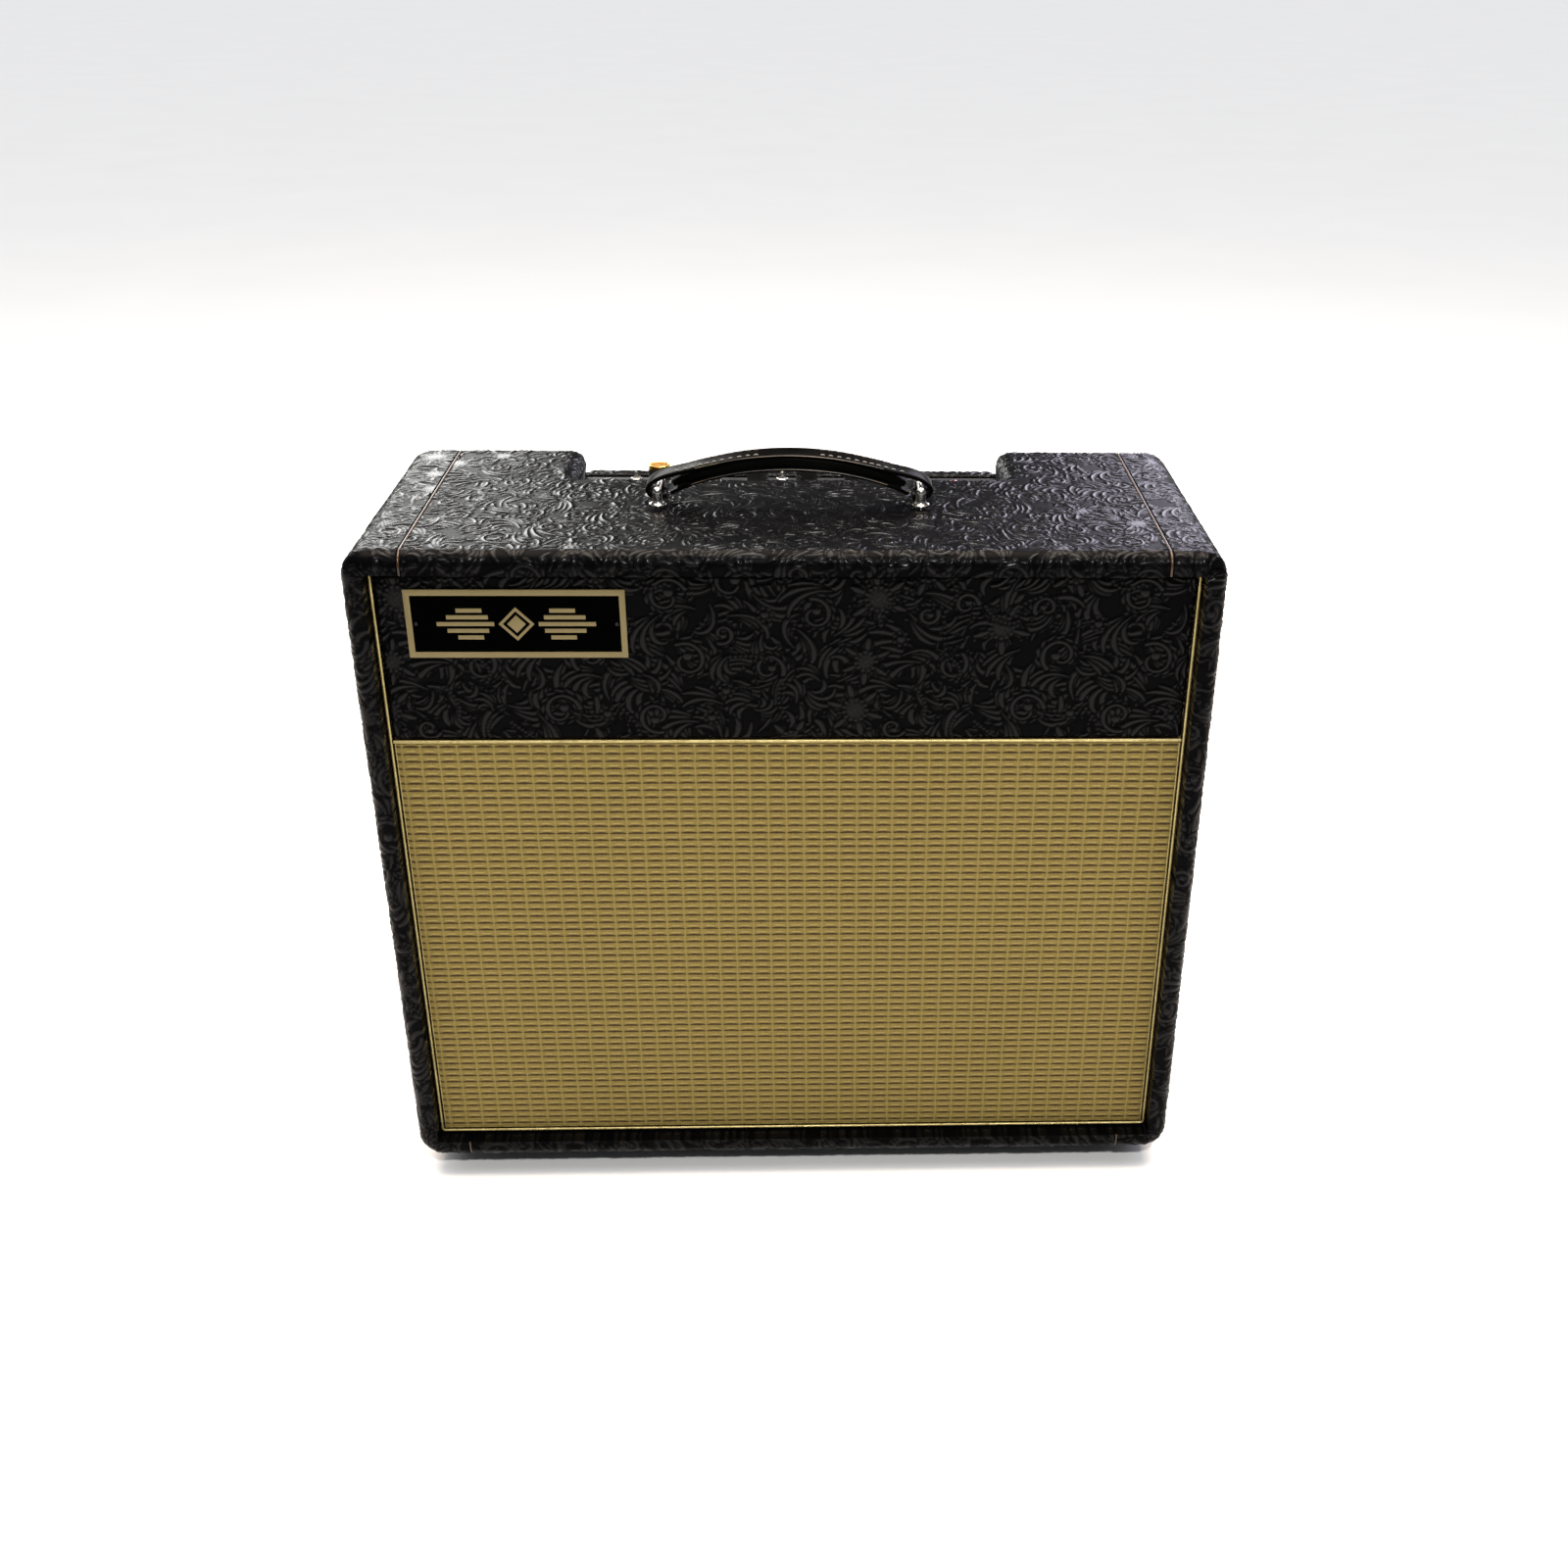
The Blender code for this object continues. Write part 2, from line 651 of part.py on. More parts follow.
def build_chassis():
    holes = panel_hole_cutter()
    sheet = CHASSIS_SHEET
    tray = cuboid_part(
        "chassis_tray",
        (-CHASSIS_HALF_WIDTH - FLANGE_WIDTH, CHASSIS_FRONT_Y, CHASSIS_BASE + GAP),
        (CHASSIS_HALF_WIDTH + FLANGE_WIDTH, CHASSIS_REAR_Y, PANEL_TOP),
        CHASSIS_STEEL,
    )
    form = bmesh.new()
    add_cuboid(
        form,
        (-CHASSIS_HALF_WIDTH + sheet, CHASSIS_FRONT_Y + sheet, CHASSIS_BASE - 10 * MM),
        (CHASSIS_HALF_WIDTH - sheet, CHASSIS_REAR_Y - sheet, PANEL_TOP - sheet),
    )
    for side in (-1, 1):
        ends = sorted((side * CHASSIS_HALF_WIDTH, side * (CHASSIS_HALF_WIDTH + 2 * FLANGE_WIDTH)))
        add_cuboid(
            form,
            (ends[0], CHASSIS_FRONT_Y - 10 * MM, CHASSIS_BASE - 10 * MM),
            (ends[1], CHASSIS_REAR_Y + 10 * MM, PANEL_TOP - sheet),
        )
    boolean(tray, link_cutter(bpy.data.objects.new("tray_inside", mesh_from("tray_inside", form))))
    boolean(tray, holes)
    boolean(tray, rear_hole_cutter())
    cuboid_part(
        "chassis_base_plate",
        (-CHASSIS_HALF_WIDTH, CHASSIS_FRONT_Y, BASE_PLATE_BASE),
        (CHASSIS_HALF_WIDTH, CHASSIS_REAR_Y, BASE_PLATE_TOP),
        CHASSIS_STEEL,
    )
    plate = cuboid_part(
        "control_plate",
        (-CONTROL_PLATE_HALF_WIDTH, CONTROL_PLATE_FRONT_Y, PLATE_BASE),
        (CONTROL_PLATE_HALF_WIDTH, CONTROL_PLATE_REAR_Y, PLATE_TOP),
        PANEL_BLACK,
    )
    boolean(plate, holes)
    cuboid_part(
        "circuit_board",
        (-150 * MM, 12 * MM, 474 * MM),
        (150 * MM, 78 * MM, 476 * MM),
        BOARD_LAMINATE,
    )


def knob_profile():
    """From the cap's centre down the flared side, then up the hollow underneath."""
    top = KNOB_TOP - PLATE_TOP
    return [
        (0, top),
        (KNOB_CAP_RADIUS - 0.8 * MM, top),
        (KNOB_CAP_RADIUS, top - 0.8 * MM),
        (KNOB_CAP_RADIUS, top - 3 * MM),
        (KNOB_RADIUS - 0.6 * MM, 4 * MM),
        (KNOB_RADIUS, 1 * MM),
        (7.2 * MM, 1 * MM),
        (7.2 * MM, 4.5 * MM),
        (3.3 * MM, 4.5 * MM),
        (3.3 * MM, 11 * MM),
        (0, 11 * MM),
    ]


def pot_profile():
    """Shaft, nut, bushing and can, from the shaft's end down."""
    return [
        (0, 10.5 * MM),
        (3 * MM, 10.5 * MM),
        (3 * MM, 3.6 * MM),
        (6.6 * MM, 2.6 * MM),
        (6.6 * MM, GAP),
        (4.7 * MM, GAP),
        (4.7 * MM, -3.8 * MM),
        (11.5 * MM, -3.8 * MM),
        (11.5 * MM, -13 * MM),
        (0, -13 * MM),
    ]


def build_knobs():
    for name, x in zip(KNOB_NAMES, KNOB_X):
        origin = (x, CONTROL_ROW_Y, PLATE_TOP)
        turned_part(name + "_knob", knob_profile(), 14, origin, KNOB_PLASTIC)
        turned_part(name + "_pot", pot_profile(), 12, origin, CHASSIS_STEEL)


def build_toggles():
    body = [
        (0, -2 * MM),
        (1.9 * MM, -2 * MM),
        (1.9 * MM, 2 * MM),
        (3 * MM, 2 * MM),
        (3 * MM, 0.6 * MM),
        (4.4 * MM, 0.6 * MM),
        (4.4 * MM, PLATE_TOP + GAP - TOGGLE_PIVOT_Z),
        (3 * MM, PLATE_TOP + GAP - TOGGLE_PIVOT_Z),
        (3 * MM, -5.3 * MM),
        (5.5 * MM, -5.3 * MM),
        (5.5 * MM, -17 * MM),
        (0, -17 * MM),
    ]
    lever = [
        (0, 10 * MM),
        (0.9 * MM, 9.6 * MM),
        (1.4 * MM, 8.4 * MM),
        (0.8 * MM, 2 * MM),
        (0.8 * MM, -0.8 * MM),
        (0, -1.2 * MM),
    ]
    for name, x in TOGGLE_X.items():
        origin = (x, CONTROL_ROW_Y, TOGGLE_PIVOT_Z)
        turned_part(name + "_switch_body", body, 12, origin, CHROME)
        turned_part(name + "_switch_lever", lever, 10, origin, CHROME)


def rocker_outline():
    """The rocker's side view about its pivot, at rest with its rear half pressed."""
    half = 7.2 * MM
    outline = [(half, 1.2 * MM), (0, 2.4 * MM), (-half, 1.2 * MM)]
    outline += arc((0, 0), 4.6 * MM, 200, 340, 5)
    turn = Matrix.Rotation(-ROCKER_TILT, 2)
    return [tuple(turn @ Vector(point)) for point in outline]


def build_rockers():
    width = 9.6 * MM
    for name, x in ROCKER_X.items():
        housing = cuboid_part(
            name + "_switch_body",
            (x - 5.5 * MM, CONTROL_ROW_Y - 8.5 * MM, PANEL_TOP - 16 * MM),
            (x + 5.5 * MM, CONTROL_ROW_Y + 8.5 * MM, PLATE_TOP + GAP + 1.2 * MM),
            KNOB_PLASTIC,
        )
        rim = link_cutter(
            cuboid_object(
                name + "_switch_rim",
                (x - 7 * MM, CONTROL_ROW_Y - 10.5 * MM, PLATE_TOP + GAP),
                (x + 7 * MM, CONTROL_ROW_Y + 10.5 * MM, PLATE_TOP + GAP + 1.2 * MM),
            )
        )
        boolean(housing, rim, "UNION")
        pocket = link_cutter(
            cuboid_object(
                name + "_switch_pocket",
                (x - 5.1 * MM, CONTROL_ROW_Y - 7.9 * MM, ROCKER_PIVOT_Z - 5.4 * MM),
                (x + 5.1 * MM, CONTROL_ROW_Y + 7.9 * MM, PLATE_TOP + 20 * MM),
            )
        )
        boolean(housing, pocket)
        rocker = flat_outline_object(name + "_rocker", [rocker_outline()], width)
        rocker.location = (x, CONTROL_ROW_Y, ROCKER_PIVOT_Z)
        rocker.rotation_euler = (math.radians(90), 0.0, math.radians(90))
        link_part(rocker, KNOB_PLASTIC)


def jack_profile():
    """A quarter-inch jack, from its bore's floor up the bore and down the outside."""
    return [
        (0, -24 * MM),
        (3.25 * MM, -24 * MM),
        (3.25 * MM, 3.6 * MM),
        (4.7 * MM, 3.6 * MM),
        (4.7 * MM, 2.4 * MM),
        (6.6 * MM, 2.4 * MM),
        (6.6 * MM, GAP),
        (4.7 * MM, GAP),
        (4.7 * MM, -3.8 * MM),
        (8 * MM, -3.8 * MM),
        (8 * MM, -26 * MM),
        (0, -26 * MM),
    ]


def build_panel_fittings():
    turned_part(
        "input_jack",
        jack_profile(),
        12,
        (INPUT_JACK_X, CONTROL_ROW_Y, PLATE_TOP),
        CHROME,
    )
    lamp = [
        (0, 4.4 * MM),
        (2.6 * MM, 3.8 * MM),
        (4.4 * MM, 1.9 * MM),
        (6.6 * MM, 1.6 * MM),
        (6.6 * MM, GAP),
        (4.1 * MM, GAP),
        (4.1 * MM, -18 * MM),
        (0, -18 * MM),
    ]
    turned_part("pilot_lamp", lamp, 12, (LAMP_X, CONTROL_ROW_Y, PLATE_TOP), LAMP_LENS)
    turned_part(
        "speaker_jack",
        jack_profile(),
        12,
        (SPEAKER_JACK_X, CHASSIS_REAR_Y, REAR_ROW_Z),
        CHROME,
        axis="Y",
    )
    inlet = cuboid_part(
        "mains_inlet",
        (INLET_X - 14 * MM, CHASSIS_REAR_Y - 24 * MM, REAR_ROW_Z - 10 * MM),
        (INLET_X + 14 * MM, CHASSIS_REAR_Y + GAP + 3 * MM, REAR_ROW_Z + 10 * MM),
        KNOB_PLASTIC,
    )
    flange = link_cutter(
        cuboid_object(
            "inlet_flange",
            (INLET_X - 25 * MM, CHASSIS_REAR_Y + GAP, REAR_ROW_Z - 13.5 * MM),
            (INLET_X + 25 * MM, CHASSIS_REAR_Y + GAP + 3 * MM, REAR_ROW_Z + 13.5 * MM),
        )
    )
    boolean(inlet, flange, "UNION")
    socket = link_cutter(
        cuboid_object(
            "inlet_socket",
            (INLET_X - 12 * MM, CHASSIS_REAR_Y - 14 * MM, REAR_ROW_Z - 8 * MM),
            (INLET_X + 12 * MM, CHASSIS_REAR_Y + 10 * MM, REAR_ROW_Z + 8 * MM),
        )
    )
    boolean(inlet, socket)


def build_valves():
    """Valves with their bases, hanging upside down from the chassis's base plate."""
    top = -GAP
    power = [
        (0, top),
        (21 * MM, top),
        (21 * MM, -8 * MM),
        (17.5 * MM, -10 * MM),
        (17.5 * MM, -22 * MM),
        (14.5 * MM, -25 * MM),
        (16.5 * MM, -34 * MM),
        (16.5 * MM, -88 * MM),
        (13 * MM, -95 * MM),
        (6 * MM, -99 * MM),
        (0, -100 * MM),
    ]
    preamp = [
        (0, top),
        (12 * MM, top),
        (12 * MM, -8 * MM),
        (10.5 * MM, -10 * MM),
        (10.5 * MM, -50 * MM),
        (7 * MM, -55 * MM),
        (2 * MM, -58 * MM),
        (0, -60 * MM),
    ]
    for name, x in zip(("left", "right"), POWER_VALVE_X):
        origin = (x, VALVE_ROW_Y, BASE_PLATE_BASE)
        turned_part(name + "_power_valve", power, 12, origin, VALVE_GLASS)
    for name, x in zip(("first", "second", "third"), PREAMP_VALVE_X):
        origin = (x, VALVE_ROW_Y, BASE_PLATE_BASE)
        turned_part(name + "_preamp_valve", preamp, 12, origin, VALVE_GLASS)


def build_transformers():
    top = BASE_PLATE_BASE - GAP
    sizes = {
        "output_transformer": ((48 * MM, 22 * MM), (92 * MM, 92 * MM), 56 * MM),
        "power_transformer": ((98 * MM, 12 * MM), (172 * MM, 98 * MM), 72 * MM),
    }
    for name, (low, high, height) in sizes.items():
        cuboid_part(name, (*low, top - height), (*high, top), BLACK_STEEL, bevel=4 * MM)


def build_speaker():
    """Pressed basket with windows, paper cone with its coil, and magnet."""
    origin = (0, SPEAKER_FRONT_Y, SPEAKER_Z)
    rim = CONE_RADIUS + 2 * MM
    basket = [
        (rim, 14.2 * MM),
        (126.5 * MM, 24.2 * MM),
        (78 * MM, 72.2 * MM),
        (78 * MM, 80 * MM),
        (30 * MM, 80 * MM),
        (30 * MM, 82 * MM),
        (80 * MM, 82 * MM),
        (80 * MM, 73 * MM),
        (128 * MM, 25.6 * MM),
        (rim + 2 * MM, 15 * MM),
        (rim + 2 * MM, 2.5 * MM),
        (SPEAKER_RADIUS, 2.5 * MM),
        (SPEAKER_RADIUS, 0),
        (rim, 0),
    ]
    shell = turned_part(
        "speaker_basket", basket, 24, origin, BLACK_STEEL, axis="Y", closed=True
    )
    boolean(shell, basket_window_cutter())
    cone_wall = 1.4 * MM
    cone = [
        (0, 36 * MM),
        (20 * MM, 40 * MM),
        (23.5 * MM, 50 * MM),
        (23.5 * MM, 94 * MM),
        (25 * MM, 94 * MM),
        (25 * MM, 56 * MM),
        (36 * MM, 50.5 * MM),
        (112 * MM, 14 * MM),
        (126 * MM, 10 * MM),
        (131 * MM, 6 * MM + cone_wall),
        (CONE_RADIUS, 6 * MM + cone_wall),
        (CONE_RADIUS, 6 * MM),
        (130 * MM, 6 * MM),
        (126 * MM, 8 * MM),
        (112 * MM, 12 * MM),
        (36 * MM, 48 * MM),
        (20 * MM, 38 * MM),
        (0, 34 * MM),
    ]
    turned_part("speaker_cone", cone, 20, origin, CONE_PAPER, axis="Y")
    magnet = [
        (0, 134 * MM),
        (58 * MM, 134 * MM),
        (70 * MM, 128 * MM),
        (76 * MM, 120 * MM),
        (78 * MM, 118 * MM),
        (78 * MM, 90 * MM),
        (62 * MM, 90 * MM),
        (62 * MM, 82 * MM + GAP),
        (27 * MM, 82 * MM + GAP),
        (27 * MM, 110 * MM),
        (0, 110 * MM),
    ]
    turned_part("speaker_magnet", magnet, 16, origin, BLACK_STEEL, axis="Y")


def basket_window_cutter():
    """Eight wedges that open the basket between its spokes."""
    form = bmesh.new()
    count = 8
    half_angle = math.radians(12.5)
    near = SPEAKER_FRONT_Y + 27 * MM
    far = SPEAKER_FRONT_Y + 68 * MM
    for index in range(count):
        middle = 2 * math.pi * (index + 0.5) / count
        corners = []
        for radius in (60 * MM, 150 * MM):
            for angle in (middle - half_angle, middle + half_angle):
                corners.append((radius * math.cos(angle), SPEAKER_Z + radius * math.sin(angle)))
        ring = [corners[place] for place in (0, 1, 3, 2)]
        face = form.faces.new([form.verts.new((x, near, z)) for x, z in ring])
        moved = bmesh.ops.extrude_face_region(form, geom=[face])["geom"]
        bmesh.ops.translate(
            form,
            verts=[item for item in moved if isinstance(item, bmesh.types.BMVert)],
            vec=(0, far - near, 0),
        )
    return link_cutter(bpy.data.objects.new("basket_windows", mesh_from("basket_windows", form)))


def speaker_lead_route():
    """From the chassis's base plate, in front of the valves, down to the basket."""
    return [
        (-52 * MM, 16 * MM, BASE_PLATE_BASE - GAP),
        (-52 * MM, 16 * MM, 440 * MM),
        (-56 * MM, 22 * MM, 405 * MM),
        (-66 * MM, 34 * MM, 370 * MM),
        (-70 * MM, 34 * MM, 338 * MM),
        (-62 * MM, 20 * MM, 312 * MM),
        (-52 * MM, 3 * MM, 294 * MM),
        (-46 * MM, -7 * MM, 284 * MM),
    ]


def build_lead():
    route = smooth_route(speaker_lead_route(), 3)
    link_part(tube_object("speaker_lead", route, 2.2 * MM, resolution=1), BLACK_RUBBER)


def strap_outline():
    """Half of the strap's side view, from the middle of its top round the end loop."""
    return [
        (0, 578.4),
        (32, 576.2),
        (60, 570.6),
        (78, 565.8),
        (92, 562.2),
        (101, 557.6),
        (104.8, 551.4),
        (102.8, 545.8),
        (96.5, 543.4),
        (88, 546),
        (75, 555.2),
        (54, 562.6),
        (30, 567.2),
        (0, 569.2),
    ]


def loop_outline():
    """The hole in the strap's end, a little taller than the bar that it holds."""
    return [
        (92, 552.6),
        (96.8, 552.5),
        (100.3, 551.3),
        (101.4, 549.2),
        (99.8, 546.7),
        (96, 545.8),
        (90.5, 547),
        (85.5, 550.8),
    ]


def build_handle():
    half = [Vector((x * MM, z * MM)) for x, z in strap_outline()]
    mirrored = [Vector((-point.x, point.y)) for point in reversed(half[1:-1])]
    outer = smooth_route(half + mirrored, 3, closed=True)
    hole = smooth_route([Vector((x * MM, z * MM)) for x, z in loop_outline()], 3, closed=True)
    far_hole = [Vector((-point.x, point.y)) for point in hole]
    strap = flat_outline_object("handle_strap", [outer, hole, far_hole], STRAP_WIDTH)
    strap.location = (0, HANDLE_Y, 0)
    strap.rotation_euler = (math.radians(90), 0.0, 0.0)
    link_part(strap, BLACK_LEATHER)
    foot = CAB_TOP + GAP
    post = [
        (0, POST_TOP),
        (2.4 * MM, POST_TOP - 0.6 * MM),
        (3.5 * MM, POST_TOP - 2.4 * MM),
        (3.7 * MM, foot + 4.2 * MM),
        (6.5 * MM, foot + 3.6 * MM),
        (6.5 * MM, foot + 2.6 * MM),
        (3.2 * MM, foot + 2.2 * MM),
        (3.2 * MM, foot),
        (0, foot),
    ]
    for side, label in ((-1, "left"), (1, "right")):
        x = side * HANDLE_BAR_X
        front_y = HANDLE_Y - HANDLE_POST_SPACING / 2
        rear_y = HANDLE_Y + HANDLE_POST_SPACING / 2
        bracket = turned_part(label + "_handle_bracket", post, 12, (x, front_y, 0), CHROME)
        other = link_cutter(turned_object(label + "_rear_post", post, 12, (x, rear_y, 0)))
        boolean(bracket, other, "UNION")
        form = bmesh.new()
        add_cylinder(
            form, (x, HANDLE_Y, HANDLE_BAR_Z), HANDLE_BAR_RADIUS, HANDLE_POST_SPACING, 10, "Y"
        )
        bar = bpy.data.objects.new(label + "_handle_bar", mesh_from(label + "_handle_bar", form))
        boolean(bracket, link_cutter(bar), "UNION")


def build_feet():
    top = FOOT_HEIGHT - GAP
    foot = [
        (0, top),
        (FOOT_RADIUS - 2 * MM, top),
        (FOOT_RADIUS, 3 * MM),
        (FOOT_RADIUS - 2 * MM, 0),
        (6 * MM, 0),
        (6 * MM, 8 * MM),
        (0, 8 * MM),
    ]
    for foot_y, row in ((FRONT_FOOT_Y, "front"), (REAR_FOOT_Y, "rear")):
        for side, column in ((-1, "left"), (1, "right")):
            origin = (side * FOOT_X, foot_y, 0)
            turned_part(f"{row}_{column}_foot", foot, 14, origin, BLACK_RUBBER)


build_cabinet()
build_back_panels()
build_front()
build_piping()
build_nameplate()
build_chassis()
build_knobs()
build_toggles()
build_rockers()
build_panel_fittings()
build_valves()
build_transformers()
build_speaker()
build_lead()
build_handle()
build_feet()
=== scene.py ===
"""The finished look of a 1x12 guitar combo amplifier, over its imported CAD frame.

Lengths in the tables and builders are millimetres in the row frame: the origin is on the
floor under the cabinet's centre, the grille faces -Y and +Z is up.
"""
import math

import bmesh
import bpy
import numpy as np
from mathutils import Matrix, Vector


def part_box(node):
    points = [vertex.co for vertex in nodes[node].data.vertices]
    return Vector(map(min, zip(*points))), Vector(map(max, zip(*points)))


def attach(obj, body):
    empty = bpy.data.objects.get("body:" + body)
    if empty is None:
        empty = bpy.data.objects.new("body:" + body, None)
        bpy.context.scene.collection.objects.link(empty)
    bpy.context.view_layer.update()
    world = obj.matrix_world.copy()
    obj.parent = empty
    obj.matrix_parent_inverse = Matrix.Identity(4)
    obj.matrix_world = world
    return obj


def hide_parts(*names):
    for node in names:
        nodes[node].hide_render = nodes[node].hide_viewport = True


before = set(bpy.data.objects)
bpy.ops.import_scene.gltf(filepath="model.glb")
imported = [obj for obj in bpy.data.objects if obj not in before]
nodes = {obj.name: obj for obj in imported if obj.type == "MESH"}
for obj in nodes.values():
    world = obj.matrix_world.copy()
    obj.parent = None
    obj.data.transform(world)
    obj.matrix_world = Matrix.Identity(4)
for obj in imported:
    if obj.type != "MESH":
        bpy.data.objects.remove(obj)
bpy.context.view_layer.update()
MM = 0.001

# ---------------------------------------------------------------- the cabinet's measures
HALF_WIDTH, HALF_DEPTH, BASE, TOP = 308.0, 130.5, 20.0, 538.6
CORNER_RADIUS, LIP_RADIUS, BOARD = 20.0, 11.0, 16.3
INLAY_X, INLAY_HALF_GROOVE, GROOVE_DEPTH = 266.0, 1.6, 1.5
NOTCH_HALF, NOTCH_FRONT, MOUTH_RADIUS, NOTCH_RADIUS = 166.0, 44.5, 12.0, 6.0
NOTCH_FRONT_LIP = 2.5
PANEL_Y, PANEL_HALF = -116.8, 287.9
DIVIDER_Z = 391.1
BEAD_X, BEAD_LOW, BEAD_HIGH, BEAD_TURN = 289.8, 38.9, 519.7, 2.2
WEAVE_ROW, WEAVE_COLUMN, WEAVE_Z, WEAVE_X = 5.992, 13.27, 3.4, 9.0
RELIEF_STEP, TILE_WIDTH, TILE_HEIGHT = 0.5, 336.0, 252.0
TOP_STEP, SIDE_STEP, FASCIA_STEP, BOTTOM_STEP, BACK_STEP = 1.16, 1.38, 0.92, 2.2, 1.9
CONTROLS = ("presence", "bass", "middle", "treble", "volume")
CONTROL_Y, FIRST_KNOB_X, KNOB_PITCH, PLATE_TOP = 85.6, -104.3, 38.8, 521.6
PLATE_FRONT, PLATE_REAR = 58.4, 98.6
GRILLE_LOW, GRILLE_HIGH = 40.8, 389.2
FASCIA_LOW, FASCIA_HIGH, FASCIA_REAR = 393.0, 517.8, -99.3
BACK_HALF, BACK_FRONT, BACK_REAR = 291.4, 113.5, 125.5
UPPER_BACK, LOWER_BACK = (382.0, 520.5), (37.3, 200.0)
JACK_WINDOW, REAR_ROW_Z = (110.0, 464.0, 510.0), 487
TOGGLES = (("bright", -122.8), ("voicing", -7.3))
HANDLE_Y, POST_X, POST_YS, BAR_Z = -13.0, 96.5, (-28.3, 2.3), 550
SPEAKER_Z, BOLT_CIRCLE = 213.0, 148.5
BELL_SIDES, BELL_POWER = 28, 0.32


# ---------------------------------------------------------------- materials
# TAN_LIGHT colours the grille's seams and also its painted highlight over each dash.
TAN_DARK, TAN, TAN_LIGHT = (0.155, 0.112, 0.0285), (0.207, 0.156, 0.0457), (0.335, 0.262, 0.083)


class Shader:
    """Short calls that build one node material round a Principled shader."""

    def __init__(self, name, colour=(0.5, 0.5, 0.5), roughness=0.5, metallic=0.0):
        self.material = bpy.data.materials.new(name)
        self.material.use_nodes = True
        self.tree = self.material.node_tree
        self.shader = self.tree.nodes["Principled BSDF"]
        self.place = self.node("ShaderNodeTexCoord").outputs["Object"]
        self.set("Base Color", colour)
        self.set("Roughness", roughness)
        self.set("Metallic", metallic)

    def node(self, kind, **settings):
        made = self.tree.nodes.new(kind)
        for key, value in settings.items():
            setattr(made, key, value)
        return made

    def feed(self, socket, value):
        if isinstance(value, bpy.types.NodeSocket):
            self.tree.links.new(value, socket)
        elif isinstance(value, tuple) and socket.type == "RGBA":
            socket.default_value = (*value, 1.0)
        else:
            socket.default_value = value

    def set(self, name, value):
        self.feed(self.shader.inputs[name], value)
        return self

    def sum(self, operation, a, b=0.0, clamp=False):
        made = self.node("ShaderNodeMath", operation=operation, use_clamp=clamp)
        self.feed(made.inputs[0], a)
        self.feed(made.inputs[1], b)
        return made.outputs[0]

    def axis(self, letter):
        made = self.node("ShaderNodeSeparateXYZ")
        self.feed(made.inputs[0], self.place)
        return made.outputs[letter]

    def stretched(self, scale):
        made = self.node("ShaderNodeMapping")
        self.feed(made.inputs["Vector"], self.place)
        made.inputs["Scale"].default_value = scale
        return made.outputs[0]

    def noise(self, scale, detail=2.0, vector=None, rough=0.5):
        made = self.node("ShaderNodeTexNoise")
        self.feed(made.inputs["Vector"], vector or self.place)
        made.inputs["Scale"].default_value = scale
        made.inputs["Detail"].default_value = detail
        made.inputs["Roughness"].default_value = rough
        return made.outputs[0]

    def cells(self, scale, feature="F1"):
        made = self.node("ShaderNodeTexVoronoi", feature=feature)
        self.feed(made.inputs["Vector"], self.place)
        made.inputs["Scale"].default_value = scale
        return made.outputs["Distance"]

    def attribute(self, name):
        return self.node("ShaderNodeAttribute", attribute_name=name).outputs["Fac"]

    def spread(self, value, low, high, to_low=0.0, to_high=1.0):
        made = self.node("ShaderNodeMapRange", clamp=True)
        for index, number in enumerate((value, low, high, to_low, to_high)):
            self.feed(made.inputs[index], number)
        return made.outputs[0]

    def mix(self, share, a, b, blend="MIX"):
        made = self.node("ShaderNodeMix", data_type="RGBA", blend_type=blend)
        self.feed(made.inputs[0], share)
        self.feed(made.inputs[6], a)
        self.feed(made.inputs[7], b)
        return made.outputs[2]

    def bump(self, height, distance_mm, strength=1.0, after=None):
        made = self.node("ShaderNodeBump")
        self.feed(made.inputs["Height"], height)
        made.inputs["Distance"].default_value = distance_mm * MM
        made.inputs["Strength"].default_value = strength
        if after is not None:
            self.feed(made.inputs["Normal"], after)
        self.feed(self.shader.inputs["Normal"], made.outputs[0])
        return made.outputs[0]


def vinyl_material():
    """Black embossed vinyl: satin ridges, duller recesses, fine pebble grain; its base colour is painted
    darker in the recesses as shade.
    """
    s = Shader("embossed_vinyl")
    relief = s.attribute("relief")
    patches = s.noise(14, 3)
    # Painted shade: the base colour darkens with the relief's depth and is darkest in the recesses.
    s.set("Base Color", s.mix(s.spread(relief, -0.55, 0.25), (0.0006, 0.0006, 0.0008),
                              (0.0022, 0.0021, 0.0025)))
    ridge = s.spread(relief, -0.5, 0.0, 0.36, 0.19)
    s.set("Roughness", s.sum("ADD", ridge, s.spread(patches, 0.3, 0.7, -0.02, 0.05)))
    s.set("Specular IOR Level", s.spread(relief, -0.5, 0.1, 0.018, 0.10))
    grain = s.bump(s.cells(1500), 0.03, 0.5)
    s.bump(s.noise(4200, 2), 0.012, 0.3, grain)
    return s.material


